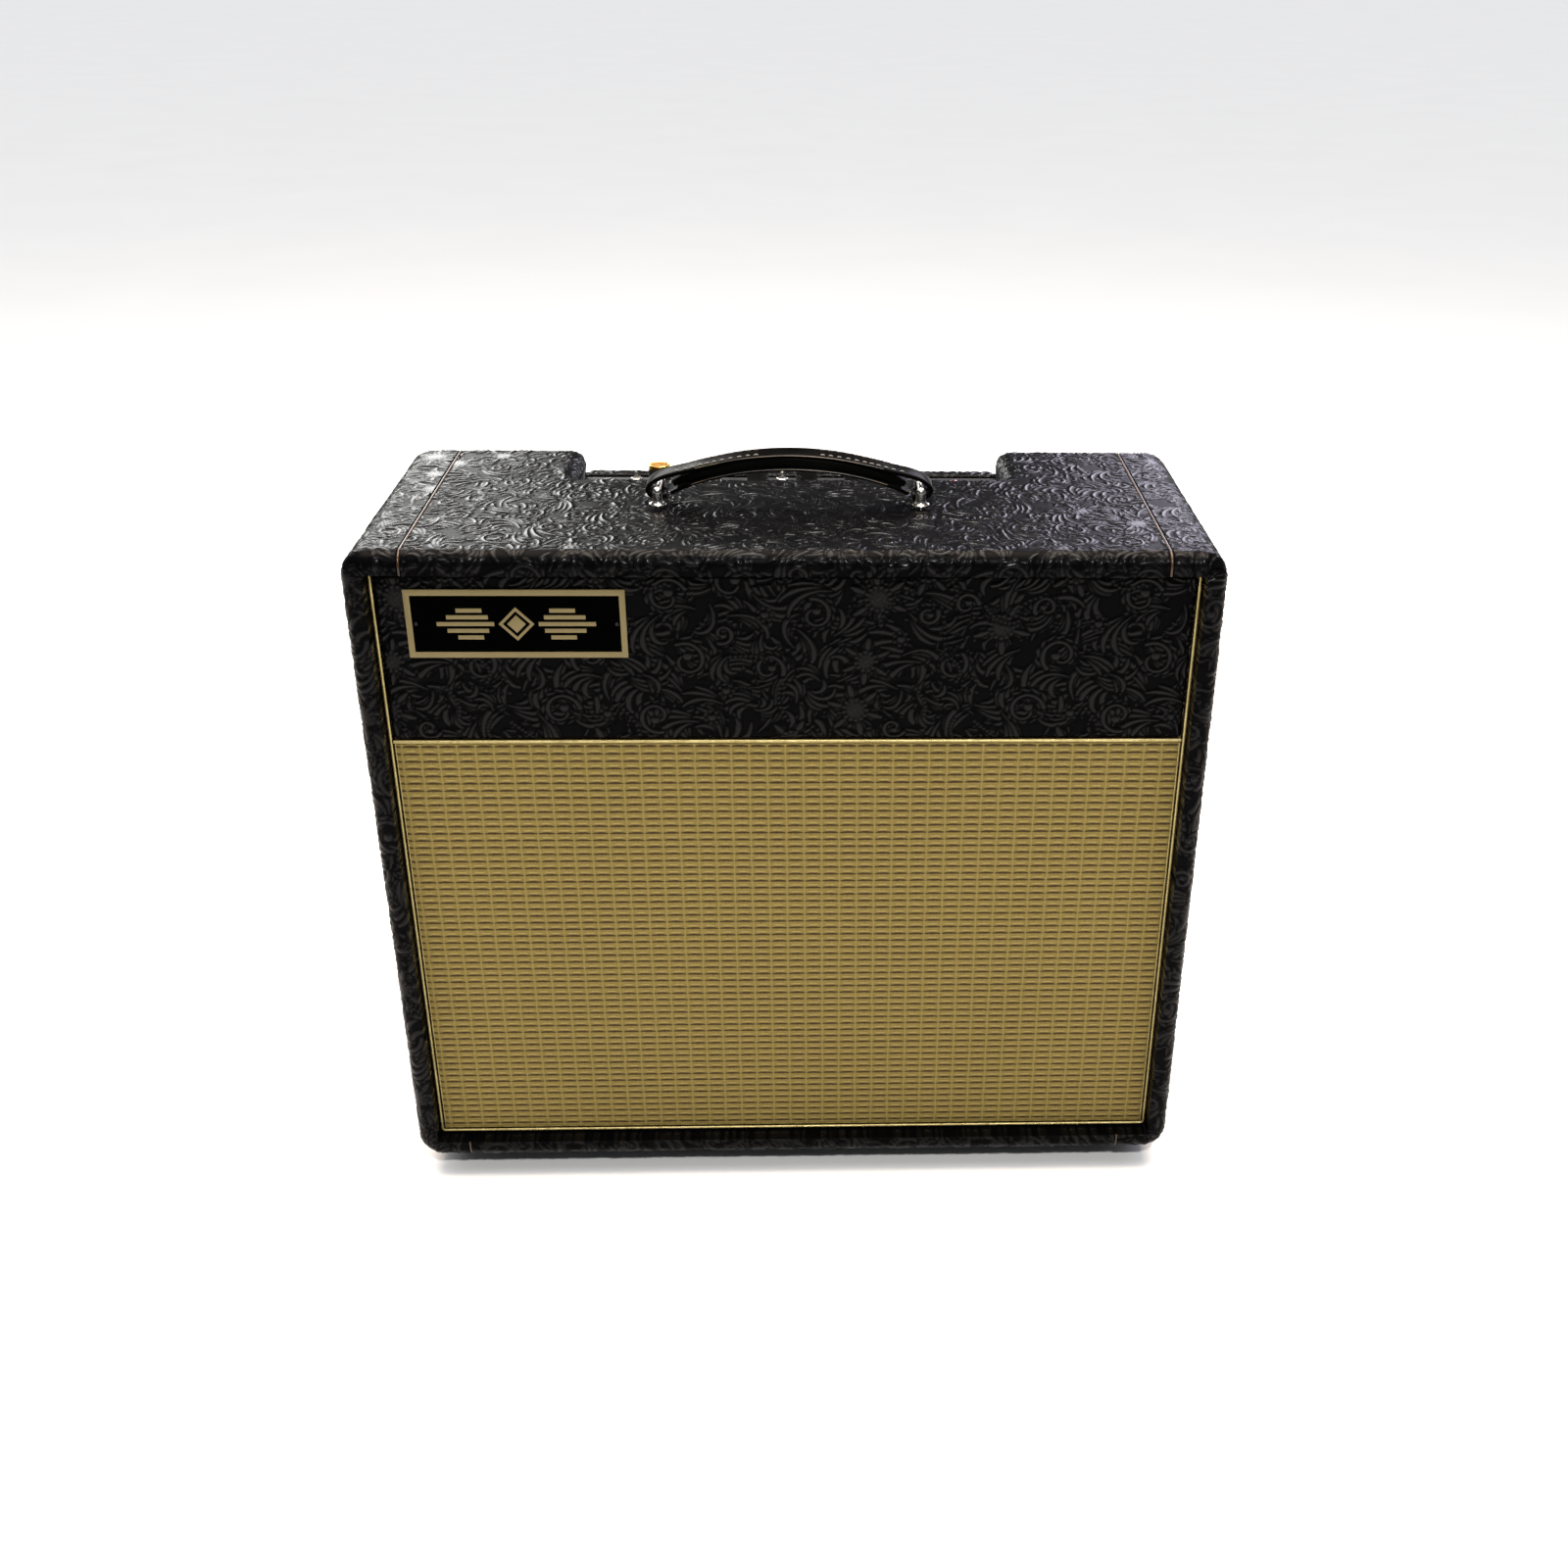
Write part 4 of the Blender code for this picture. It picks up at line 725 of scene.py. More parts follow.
def relief_piece(name, points, heights, faces, replaces, closing=None, body="cabinet"):
    """A covered board from points in millimetres.

    closing(point) gives each rim point's partner on the far side, which is then filled."""
    mesh = bpy.data.meshes.new(name)
    mesh.from_pydata((points * MM).tolist(), [], faces)
    layer = mesh.attributes.new("relief", "FLOAT", "POINT")
    layer.data.foreach_set("value", np.asarray(heights, np.float32).ravel())
    work = bmesh.new()
    work.from_mesh(mesh)
    if closing:
        rim = [e for e in work.edges if e.is_boundary]
        made = bmesh.ops.extrude_edge_only(work, edges=rim)["geom"]
        for vertex in [g for g in made if isinstance(g, bmesh.types.BMVert)]:
            vertex.co = Vector(closing(vertex.co / MM)) * MM
        edges = [g for g in made if isinstance(g, bmesh.types.BMEdge) and g.is_boundary]
        bmesh.ops.triangle_fill(work, use_beauty=False, use_dissolve=False, edges=edges)
    bmesh.ops.recalc_face_normals(work, faces=work.faces)
    work.to_mesh(mesh)
    work.free()
    return finish_piece(name, mesh, VINYL, body, replaces, 62)


def grid_faces(rows, columns, keep=None):
    """The quads of a grid of points, or those that keep marks."""
    index = np.arange(rows * columns).reshape(rows, columns)
    quads = np.stack([index[:-1, :-1], index[:-1, 1:], index[1:, 1:], index[1:, :-1]], -1)
    if keep is not None:
        return quads[keep].tolist()
    return quads.reshape(-1, 4).tolist()


def compact(points, heights, faces):
    """Only the points that the faces use."""
    faces = np.asarray(faces)
    used = np.unique(faces)
    fresh = np.zeros(len(points), int)
    fresh[used] = np.arange(len(used))
    return points[used], heights[used], fresh[faces].tolist()


def rear_contour(x, y):
    """Distance beyond the notched rear outline, the way outwards, and the edge's rounding there.

    x is taken on the positive side."""
    mouth_x, mouth_y = NOTCH_HALF + MOUTH_RADIUS, HALF_DEPTH - MOUTH_RADIUS
    inner_x, inner_y = NOTCH_HALF - NOTCH_RADIUS, NOTCH_FRONT + NOTCH_RADIUS
    distance = y - HALF_DEPTH
    nx, ny = np.zeros_like(x), np.ones_like(x)
    beside = (x < mouth_x) & (y > mouth_y)
    dx, dy = x - mouth_x, y - mouth_y
    gap = np.maximum(np.hypot(dx, dy), 1e-9)
    distance = np.where(beside, gap - MOUTH_RADIUS, distance)
    nx, ny = np.where(beside, dx / gap, nx), np.where(beside, dy / gap, ny)
    along = (y <= mouth_y) & (y >= inner_y) & (x < mouth_x + 30)
    distance = np.where(along, np.maximum(NOTCH_HALF - x, distance), distance)
    nx, ny = np.where(along, -1.0, nx), np.where(along, 0.0, ny)
    corner = (y < inner_y) & (x > inner_x)
    dx, dy = inner_x - x, inner_y - y
    gap = np.maximum(np.hypot(dx, dy), 1e-9)
    distance = np.where(corner, NOTCH_RADIUS - gap, distance)
    nx, ny = np.where(corner, dx / gap, nx), np.where(corner, dy / gap, ny)
    middle = x <= inner_x
    distance = np.where(middle, y - NOTCH_FRONT, distance)
    nx, ny = np.where(middle, 0.0, nx), np.where(middle, 1.0, ny)
    share = np.clip((y - NOTCH_FRONT) / 16, 0, 1)
    lip = NOTCH_FRONT_LIP + (LIP_RADIUS - NOTCH_FRONT_LIP) * share * share * (3 - 2 * share)
    return distance, nx, ny, lip


def covered_top():
    """The top between the two inlays: rolled front and rear edges, and the notch for the controls."""
    edge = INLAY_X - INLAY_HALF_GROOVE
    inner = np.linspace(-edge + 0.1, edge - 0.1, int(2 * edge / TOP_STEP))
    xs = np.concatenate([[-INLAY_X, -edge - 0.1], inner, [edge + 0.1, INLAY_X]])
    hidden = LIP_RADIUS * (math.pi / 2 - 1)
    first, last = -HALF_DEPTH - hidden - 5.4, HALF_DEPTH + hidden + TOP_STEP
    ys = np.linspace(first, last, int((last - first) / TOP_STEP))
    x, y = np.meshgrid(xs, ys)
    distance, nx, ny, lip = rear_contour(np.abs(x), y)
    nx = nx * np.where(x < 0, -1.0, 1.0)
    front = -HALF_DEPTH - y + LIP_RADIUS > distance + lip
    distance = np.where(front, -HALF_DEPTH - y, distance)
    lip = np.where(front, LIP_RADIUS, lip)
    nx, ny = np.where(front, 0.0, nx), np.where(front, -1.0, ny)
    run = distance + lip
    quarter = lip * math.pi / 2
    limit = np.where(front, quarter + 5.4, quarter)
    beyond = run > limit
    cell_out = beyond[:-1, :-1] & beyond[:-1, 1:] & beyond[1:, 1:] & beyond[1:, :-1]
    angle = np.clip(run, 0, quarter) / lip
    drop = np.clip(run - quarter, 0, limit - quarter)
    inward = np.where(run > 0, lip * (1 - np.sin(angle)), -distance)
    place = np.stack([x - (distance + inward) * nx, y - (distance + inward) * ny,
                      TOP - lip * (1 - np.cos(angle)) - drop], -1)
    normal = np.stack([nx * np.sin(angle), ny * np.sin(angle), np.cos(angle)], -1)
    excess = np.maximum(run - limit, 0)
    heights = relief_at(x - excess * nx + 300, y - excess * ny + 200)
    heights = np.where(np.abs(x) > edge, -GROOVE_DEPTH, heights)
    points = (place + normal * heights[..., None]).reshape(-1, 3)
    faces = grid_faces(len(ys), len(xs), ~cell_out)
    points, heights, faces = compact(points, heights.reshape(-1), faces)
    floor = TOP - BOARD - 0.7
    return relief_piece("covered_top", points, heights, faces, ["top_board"],
                        lambda p: (p[0], p[1], floor))


def lip_section(step):
    """Across a board: distance run, depth under the outer face, y, and the normal's share
    outwards and along y, from the front's inner edge to the rear's inner edge."""
    quarter = LIP_RADIUS * math.pi / 2
    face = BOARD - LIP_RADIUS
    flat = 2 * (HALF_DEPTH - LIP_RADIUS)
    whole = 2 * face + 2 * quarter + flat
    run = np.linspace(0, whole, int(whole / step))
    turn = np.clip(run - face, 0, quarter) / LIP_RADIUS
    turn2 = np.clip(run - face - quarter - flat, 0, quarter) / LIP_RADIUS
    depth = (face - np.clip(run, 0, face)) + LIP_RADIUS * (1 - np.sin(turn))
    depth = depth + LIP_RADIUS * (1 - np.cos(turn2)) + np.maximum(run - whole + face, 0)
    y = -(HALF_DEPTH - LIP_RADIUS) - LIP_RADIUS * np.cos(turn)
    y = y + np.clip(run - face - quarter, 0, flat) + LIP_RADIUS * np.sin(turn2)
    outward = np.where(turn < math.pi / 2, np.sin(turn), np.cos(turn2))
    along = np.where(turn < math.pi / 2, -np.cos(turn), np.sin(turn2))
    return run, depth, y, outward, along


def covered_sweep(name, places, normals, runs, step, replaces, offset, mirror=False, grooves=True):
    """A board swept along places in XZ, with outward normals, closed at both ends."""
    cross, depth, y, outward, along = lip_section(step)
    heights = relief_at(runs[:, None] + offset[0], cross[None, :] + offset[1])
    if grooves:
        cut = (runs < INLAY_HALF_GROOVE) | (runs > runs[-1] - INLAY_HALF_GROOVE)
        heights = np.where(cut[:, None], -GROOVE_DEPTH, heights)
    away = (-depth + 0 * heights) + heights * outward
    x = places[:, None, 0] + normals[:, None, 0] * away
    z = places[:, None, 1] + normals[:, None, 1] * away
    points = np.stack([x, y[None, :] + heights * along[None, :], z], -1)
    if mirror:
        points[..., 0] *= -1
    rows, columns = heights.shape
    faces = grid_faces(rows, columns)
    for row in range(rows - 1):
        start, following = row * columns, (row + 1) * columns
        faces.append([start + columns - 1, start, following, following + columns - 1])
    faces.append(list(range(columns)))
    faces.append(list(range((rows - 1) * columns, rows * columns))[::-1])
    return relief_piece(name, points.reshape(-1, 3), heights, faces, replaces)


def side_loop(step):
    """The left side's outer line in XZ from the top inlay round to the bottom one."""
    turn = CORNER_RADIUS * math.pi / 2
    lid = HALF_WIDTH - CORNER_RADIUS - INLAY_X
    wall = TOP - BASE - 2 * CORNER_RADIUS
    whole = 2 * lid + 2 * turn + wall
    groove = INLAY_HALF_GROOVE
    middle = np.linspace(groove + 0.1, whole - groove - 0.1, int(whole / step))
    runs = np.concatenate([[0, groove - 0.1], middle, [whole - groove + 0.1, whole]])
    first = np.clip(runs - lid, 0, turn) / CORNER_RADIUS
    second = np.clip(runs - lid - turn - wall, 0, turn) / CORNER_RADIUS
    x = -INLAY_X - np.clip(runs, 0, lid) - CORNER_RADIUS * np.sin(first)
    x = x + CORNER_RADIUS * (1 - np.cos(second)) + np.maximum(runs - whole + lid, 0)
    z = TOP - CORNER_RADIUS * (1 - np.cos(first)) - np.clip(runs - lid - turn, 0, wall)
    z = z - CORNER_RADIUS * np.sin(second)
    angle = math.pi / 2 + first + second
    return np.stack([x, z], -1), np.stack([np.cos(angle), np.sin(angle)], -1), runs


def covered_sides():
    places, normals, runs = side_loop(SIDE_STEP)
    covered_sweep("covered_left_side", places, normals, runs, SIDE_STEP, ["left_side_board"], (20, 40))
    covered_sweep("covered_right_side", places, normals, runs, SIDE_STEP, ["right_side_board"],
                  (190, 150), mirror=True)


def covered_bottom():
    groove = INLAY_HALF_GROOVE
    middle = np.linspace(groove + 0.1, 2 * INLAY_X - groove - 0.1, int(2 * INLAY_X / BOTTOM_STEP))
    runs = np.concatenate([[0, groove - 0.1], middle, [2 * INLAY_X - groove + 0.1, 2 * INLAY_X]])
    places = np.stack([runs - INLAY_X, np.full_like(runs, BASE)], -1)
    normals = np.stack([np.zeros_like(runs), -np.ones_like(runs)], -1)
    covered_sweep("covered_bottom", places, normals, runs, BOTTOM_STEP, ["bottom_board"], (77, 90))


def covered_panel(name, half_width, low, high, outer_y, inner_y, step, replaces, offset, radius=3.0,
                  window_box=None):
    """A flat covered panel facing along Y, its edges rounded, with an optional opening."""
    quarter = radius * math.pi / 2
    extra = quarter - radius
    facing = -1.0 if outer_y < inner_y else 1.0
    wide = half_width + extra
    xs = np.linspace(-wide, wide, int(2 * wide / step))
    zs = np.linspace(low - extra, high + extra, int((high - low) / step))
    x, z = np.meshgrid(xs, zs)
    px, pz = x.copy(), z.copy()
    over_x = np.maximum(np.abs(x) - (half_width - radius), 0)
    over_z = np.maximum(np.maximum(low + radius - z, z - high + radius), 0)
    lean_x = over_x * np.sign(x)
    lean_z = np.where(z < (low + high) / 2, -over_z, over_z)
    run = np.hypot(lean_x, lean_z)
    keep = None
    if window_box:
        wx, wl, wh = window_box
        corner = np.stack([np.abs(x) - wx, np.maximum(wl - z, z - wh)], -1)
        inside = np.minimum(-corner[..., 0], -corner[..., 1])
        out = (inside > -1e-6)
        keep = ~(out[:-1, :-1] & out[:-1, 1:] & out[1:, 1:] & out[1:, :-1])
        snap_x = out & (-corner[..., 0] <= -corner[..., 1])
        px = np.where(snap_x, np.sign(x) * wx, px)
        pz = np.where(out & ~snap_x, np.where(z < (wl + wh) / 2, wl, wh), pz)
    safe = np.maximum(run, 1e-9)
    ux, uz = lean_x / safe, lean_z / safe
    angle = np.minimum(run, quarter) / radius
    out_x = px - lean_x + radius * np.sin(angle) * ux
    out_z = pz - lean_z + radius * np.sin(angle) * uz
    out_y = outer_y - facing * radius * (1 - np.cos(angle))
    heights = relief_at(px + offset[0], pz + offset[1])
    points = np.stack([out_x + heights * np.sin(angle) * ux * 0.5,
                       out_y + facing * heights * np.cos(angle),
                       out_z + heights * np.sin(angle) * uz * 0.5], -1).reshape(-1, 3)
    faces = grid_faces(len(zs), len(xs), keep)
    points, heights, faces = compact(points, heights.reshape(-1), faces)
    return relief_piece(name, points, heights, faces, replaces, lambda p: (p[0], inner_y, p[2]))


def covered_cap():
    """The covered top edge of the upper back panel, between the ears of the notch."""
    half, front, rear, level, base, turn = 164.0, 113.7, 125.9, 521.9, 519.4, 1.4
    xs = np.linspace(-half, half, int(2 * half / TOP_STEP))
    ys = np.linspace(front, rear, int((rear - front) / TOP_STEP) + 1)
    x, y = np.meshgrid(xs, ys)
    rim = np.minimum(np.minimum(half - np.abs(x), y - front), rear - y)
    heights = relief_at(x + 40, y + 90) * np.clip(rim / turn, 0, 1)
    drop = turn * (1 - np.sqrt(1 - (1 - np.clip(rim / turn, 0, 1)) ** 2))
    points = np.stack([x, y, level - 0.3 + heights - drop], -1).reshape(-1, 3)
    faces = grid_faces(len(ys), len(xs))
    relief_piece("covered_back_cap", points, heights.reshape(-1), faces, [], lambda p: (p[0], p[1], base))


def inlay(name, side, top, replaces):
    """A half-round foil strip lying in the groove, over the board's outer face."""
    cross, depth, y, outward, along = lip_section(1.6)
    crown = [(-0.85, -1.6), (-0.85, -0.65), (-0.55, -0.3), (0, -0.12), (0.55, -0.3), (0.85, -0.65),
             (0.85, -1.6)]
    points = []
    level = TOP if top else BASE
    sign = 1.0 if top else -1.0
    for d, place, out, lengthwise in zip(depth, y, outward, along):
        for across, lift in crown:
            points.append((side * INLAY_X + across, place + lift * lengthwise,
                           level + sign * (-d + lift * out)))
    from_lists(name, points, ringed_faces(len(depth), len(crown)), INLAY, replaces=replaces, sharp=50,
               slot="gold_piping")


# ---------------------------------------------------------------- the front
def rounded_loop(half_width, low, high, radius, y, step):
    """A rounded rectangle in XZ, about step apart."""
    corners = [(half_width - radius, high - radius, 0), (-half_width + radius, high - radius, 90),
               (-half_width + radius, low + radius, 180), (half_width - radius, low + radius, 270)]
    outline = []
    for cx, cz, start in corners:
        for index in range(5):
            angle = math.radians(start + 22.5 * index)
            outline.append(Vector((cx + radius * math.cos(angle), y, cz + radius * math.sin(angle))))
    found = []
    for a, b in zip(outline, outline[1:] + outline[:1]):
        pieces = max(1, int((b - a).length / step))
        found.extend(a.lerp(b, index / pieces) for index in range(pieces))
    return found


def build_piping():
    """Two-strand corded beads round the opening and under the fascia, and the cloth's side cords."""
    step = 0.45
    loop = rounded_loop(BEAD_X, BEAD_LOW, BEAD_HIGH, BEAD_TURN, PANEL_Y, step)
    points, faces = tube_shape(loop, 1.0, 8, True, (2, 2.6, 0.5))
    from_lists("opening_bead", points, faces, BEAD, replaces=["front_piping"], sharp=80,
               slot="gold_piping")
    count = int(2 * PANEL_HALF / step)
    line = [(2 * PANEL_HALF * i / count - PANEL_HALF, PANEL_Y - 0.2, DIVIDER_Z)
            for i in range(count + 1)]
    points, faces = tube_shape(line, 1.2, 8, False, (2, 2.6, 0.5))
    from_lists("divider_bead", points, faces, BEAD, replaces=["divider_piping"], sharp=80,
               slot="gold_piping")
    heights = np.linspace(GRILLE_LOW + 0.1, GRILLE_HIGH - 0.1, 61)
    cords = [tube_shape([(side * (PANEL_HALF - 1), PANEL_Y - 0.45, z) for z in heights], 0.36, 8)
             for side in (-1, 1)]
    from_lists("grille_side_cords", *joined(cords), BEAD, sharp=80, slot="gold_piping")


def build_grille():
    """The stretched cloth: yarn rows, dashes sunk between them, edges pulled over the frame."""
    half, low, high = PANEL_HALF, GRILLE_LOW, GRILLE_HIGH
    columns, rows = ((241, 400))
    x, z = np.meshgrid(np.linspace(-half, half, columns), np.linspace(low, high, rows))
    row = (z - WEAVE_Z) / WEAVE_ROW + 0.5
    column = (x - WEAVE_X) / WEAVE_COLUMN
    dash = np.clip((0.46 - np.abs(column % 1 - 0.5)) / 0.06, 0, 1)
    sunk = np.exp(-((row % 1 - 0.5) / 0.17) ** 2) * (0.3 + 0.7 * dash)
    rib = 0.16 * np.cos(2 * np.pi * row * 2)
    edge = np.minimum(np.minimum(x + half, half - x), np.minimum(z - low, high - z))
    roll = 0.75 * np.exp(-edge / 1.6)
    lift = 0.28 - 0.42 * sunk - rib * 0.5 - roll
    front = np.stack([x, -116.5 - lift, z], -1).reshape(-1, 3)
    faces = grid_faces(rows, columns)
    rim = [i for i in range(columns)] + [r * columns + columns - 1 for r in range(1, rows)]
    rim += [(rows - 1) * columns + i for i in range(columns - 2, -1, -1)]
    rim += [r * columns for r in range(rows - 2, 0, -1)]
    back = len(front)
    behind = front[rim].copy()
    behind[:, 1] = -115.85
    for index in range(len(rim)):
        following = (index + 1) % len(rim)
        faces.append([rim[index], rim[following], back + following, back + index])
    faces.append([back + index for index in range(len(rim))])
    piece = from_lists("grille_weave", np.vstack([front, behind]), faces, GRILLE,
                       replaces=["grille_cloth"], sharp=60, slot="grille_cloth")


def build_nameplate():
    """A brass border and a motif of bars and a diamond over a black field."""
    cx, cz, half_w, half_h = -191.2, 482.9, 76.8, 25.25
    border = 4.3
    back, front, field = -117.1, -119.1, -118.55
    inner_w, inner_h = half_w - border, half_h - border
    corners = ((-1, -1), (1, -1), (1, 1), (-1, 1))
    outer = [(cx + i * half_w, cz + k * half_h) for i, k in corners]
    inner = [(cx + i * inner_w, cz + k * inner_h) for i, k in corners]
    points = [(x, front, z) for x, z in outer] + [(x, front, z) for x, z in inner]
    points += [(x, back, z) for x, z in outer] + [(x, field + 0.2, z) for x, z in inner]
    faces = [(8, 9, 10, 11)[::-1], (12, 13, 14, 15)]
    for i in range(4):
        j = (i + 1) % 4
        faces += [(i, j, 4 + j, 4 + i), (i, 8 + i, 8 + j, j), (4 + i, 4 + j, 12 + j, 12 + i)]
    from_lists("nameplate_border", points, faces, BRASS, replaces=["nameplate"], bevel=0.22,
               slot="nameplate_metal")
    shape = box_shape((cx - inner_w, field, cz - inner_h), (cx + inner_w, field + 0.35, cz + inner_h))
    from_lists("nameplate_field", *shape, FIELD_BLACK, bevel=0.08, slot="nameplate_metal")
    parts = []
    raised, sunk = field - 0.28, field + 0.1
    for side in (-1, 1):
        for level, (start, reach) in enumerate(((15.5, 55.5), (19.5, 48.5), (23.5, 41.5))):
            for lift in ((0,) if level == 0 else (-1, 1)):
                z = cz + lift * level * 5.0
                x0, x1 = sorted((cx + side * start, cx + side * reach))
                parts.append(box_shape((x0, raised, z - 1.5), (x1, sunk, z + 1.5)))
    for outside, inside in ((12.5, 9.6), (6.6, 0.01)):
        ring, ring_faces = [], []
        for radius in (outside, inside):
            for y in (raised, sunk):
                for k in range(4):
                    angle = math.pi / 2 * k
                    ring.append((cx + radius * math.cos(angle), y, cz + radius * math.sin(angle)))
        for k in range(4):
            j = (k + 1) % 4
            ring_faces += [(k, j, 4 + j, 4 + k), (8 + k, 12 + k, 12 + j, 8 + j),
                           (k, 8 + k, 8 + j, j), (4 + k, 4 + j, 12 + j, 12 + k)]
        parts.append((ring, ring_faces))
    from_lists("nameplate_motif", *joined(parts), BRASS, bevel=0.08, slot="nameplate_metal")
    screws = [screw_shape((cx + side * 70.0, field + 0.1, cz), "Y", -1, 1.45) for side in (-1, 1)]
    from_lists("nameplate_screws", *joined(screws), DARK_STEEL, slot="chrome")


# ---------------------------------------------------------------- handle
def strap_section(width, thickness, crown):
    """A strap's cross-section, (across, up) from its middle, edges rounded."""
    half, edge = width / 2, min(1.1, thickness / 2.2)
    section = []
    across, up = half - edge, thickness / 2 - edge
    for cx, cz, start in ((across, up, 0), (-across, up, 90), (-across, -up, 180), (across, -up, 270)):
        for index in range(4):
            angle = math.radians(start + 30 * index)
            section.append((cx + edge * math.cos(angle), cz + edge * math.sin(angle)))
        if start == 0:
            for share in (0.66, 0.33, 0.0, -0.33, -0.66):
                section.append((share * across, thickness / 2 + crown * (1 - share * share)))
        if start == 180:
            for share in (-0.5, 0.0, 0.5):
                section.append((share * across, -thickness / 2))
    return section


def swept_strap(path, width, thickness, crown=0.0):
    """A strap along an XZ path; width, thickness and crown may vary along it as lists."""
    count = len(path)

    def value(given, index):
        return given[index] if isinstance(given, (list, np.ndarray)) else given

    points = []
    for index, (x, z) in enumerate(path):
        before, after = path[max(index - 1, 0)], path[min(index + 1, count - 1)]
        tangent = Vector((after[0] - before[0], after[1] - before[1])).normalized()
        up = Vector((-tangent.y, tangent.x))
        section = strap_section(value(width, index), value(thickness, index), value(crown, index))
        for across, lift in section:
            points.append((x + up.x * lift, HANDLE_Y + across, z + up.y * lift))
    return points, ringed_faces(count, len(section))


def strap_path(right_half):
    """A symmetric line in XZ from its right half, smoothed."""
    line = [(-x, 0, z) for x, z in reversed(right_half[1:])] + [(x, 0, z) for x, z in right_half]
    return [(p.x, p.z) for p in smooth_path(line, 2.0)]


def build_handle():
    """Two stitched leather straps over a padded core, the upper one wrapped round the bars."""
    right_half = [(0, 575.3), (32, 573.2), (60, 567.8), (76, 563.7), (90, 560.3), (99.4, 556.3),
                  (104.2, 551.0), (102.6, 546.4), (96.5, 544.6), (90.4, 545.9)]
    path = strap_path(right_half)
    from_lists("handle_upper_strap", *swept_strap(path, 20.6, 3.0, 0.25), LEATHER, "handle",
               ["handle_strap"], sharp=50, slot="black_leather")
    under_half = [(0, 565.6), (30, 563.8), (54, 559.5), (72, 554.2), (82, 549.9), (87.5, 547.0)]
    path_under = strap_path(under_half)
    reach = np.array([abs(x) for x, _ in path_under])
    width = list(np.where(reach > 70, 20.2 - 3.5 * ((reach - 70) / 17.5) ** 2, 20.2))
    from_lists("handle_lower_strap", *swept_strap(path_under, width, 2.8), LEATHER, "handle", sharp=50,
               slot="black_leather")
    core_half = [(0, 570.3), (30, 568.4), (54, 564.0), (70, 559.8), (80, 556.3), (85, 554.0)]
    path_core = strap_path(core_half)
    reach = np.array([abs(x) for x, _ in path_core])
    thick = list(7.4 - 3.4 * (reach / 85) ** 2)
    width = list(19.8 - 4.0 * (reach / 85) ** 8)
    core = from_lists("handle_core", *swept_strap(path_core, width, thick, 0.0), LEATHER, "handle",
                      sharp=50, slot="black_leather")
    # Thin tan tubes along the strap edges are painted highlights where the edges catch the light.
    edges = []
    for y in (-23.25, -2.75):
        trimmed = [(x, z) for x, z in path if abs(x) < 70 and z > 556]
        edges.append(tube_shape([(x, y, z + 0.8) for x, z in trimmed], 0.34, 6))
        edges.append(tube_shape([(x, y + (0.3 if y < HANDLE_Y else -0.3), z + 0.2)
                                 for x, z in path_under if abs(x) < 74], 0.3, 6))
    from_lists("handle_edge_highlights", *joined(edges), EDGE_HIGHLIGHT, "handle", slot="black_leather")
    stitches = []
    for y in (-19.6, -6.0):
        walked, last = 0.0, None
        for index, (x, z) in enumerate(path):
            if last is not None:
                walked += math.hypot(x - last[0], z - last[1])
            last = (x, z)
            if walked >= 5.0 and 24 < abs(x) < 84 and 555 < z:
                walked = 0.0
                before, after = path[index - 1], path[index + 1]
                tangent = Vector((after[0] - before[0], 0, after[1] - before[1])).normalized()
                up = Vector((-tangent.z, 0, tangent.x))
                centre = Vector((x, y, z)) + up * (1.5 + 0.18)
                ends = [centre + tangent * d + up * h for d, h in
                        ((-1.35, -0.35), (-0.9, 0.1), (0, 0.22), (0.9, 0.1), (1.35, -0.35))]
                stitches.append(tube_shape([tuple(e) for e in ends], 0.42, 6))
    from_lists("handle_stitches", *joined(stitches), THREAD, "handle", slot="black_leather")
    post = [(0, 538.3), (3.4, 538.3), (3.4, 540.4), (3.9, 540.9), (6.1, 541.2), (6.5, 541.6),
            (6.2, 542.1), (4.4, 542.6), (3.7, 543.6), (3.5, 545.0), (3.5, 550.0), (3.2, 551.9),
            (2.4, 553.2), (1.3, 554.0), (0, 554.2)]
    bar = [(0, POST_YS[0] + 0.5), (2.0, POST_YS[0] + 0.5), (2.0, POST_YS[1] - 0.5), (0, POST_YS[1] - 0.5)]
    for x, node in ((-POST_X, "left_handle_bracket"), (POST_X, "right_handle_bracket")):
        parts = [turned_shape(post, (x, y, 0), "Z", 32) for y in POST_YS]
        parts.append(turned_shape(bar, (x, 0, BAR_Z), "Y", 20))
        from_lists(f"{node}_posts", *joined(parts), CHROME, replaces=[node], slot="chrome")


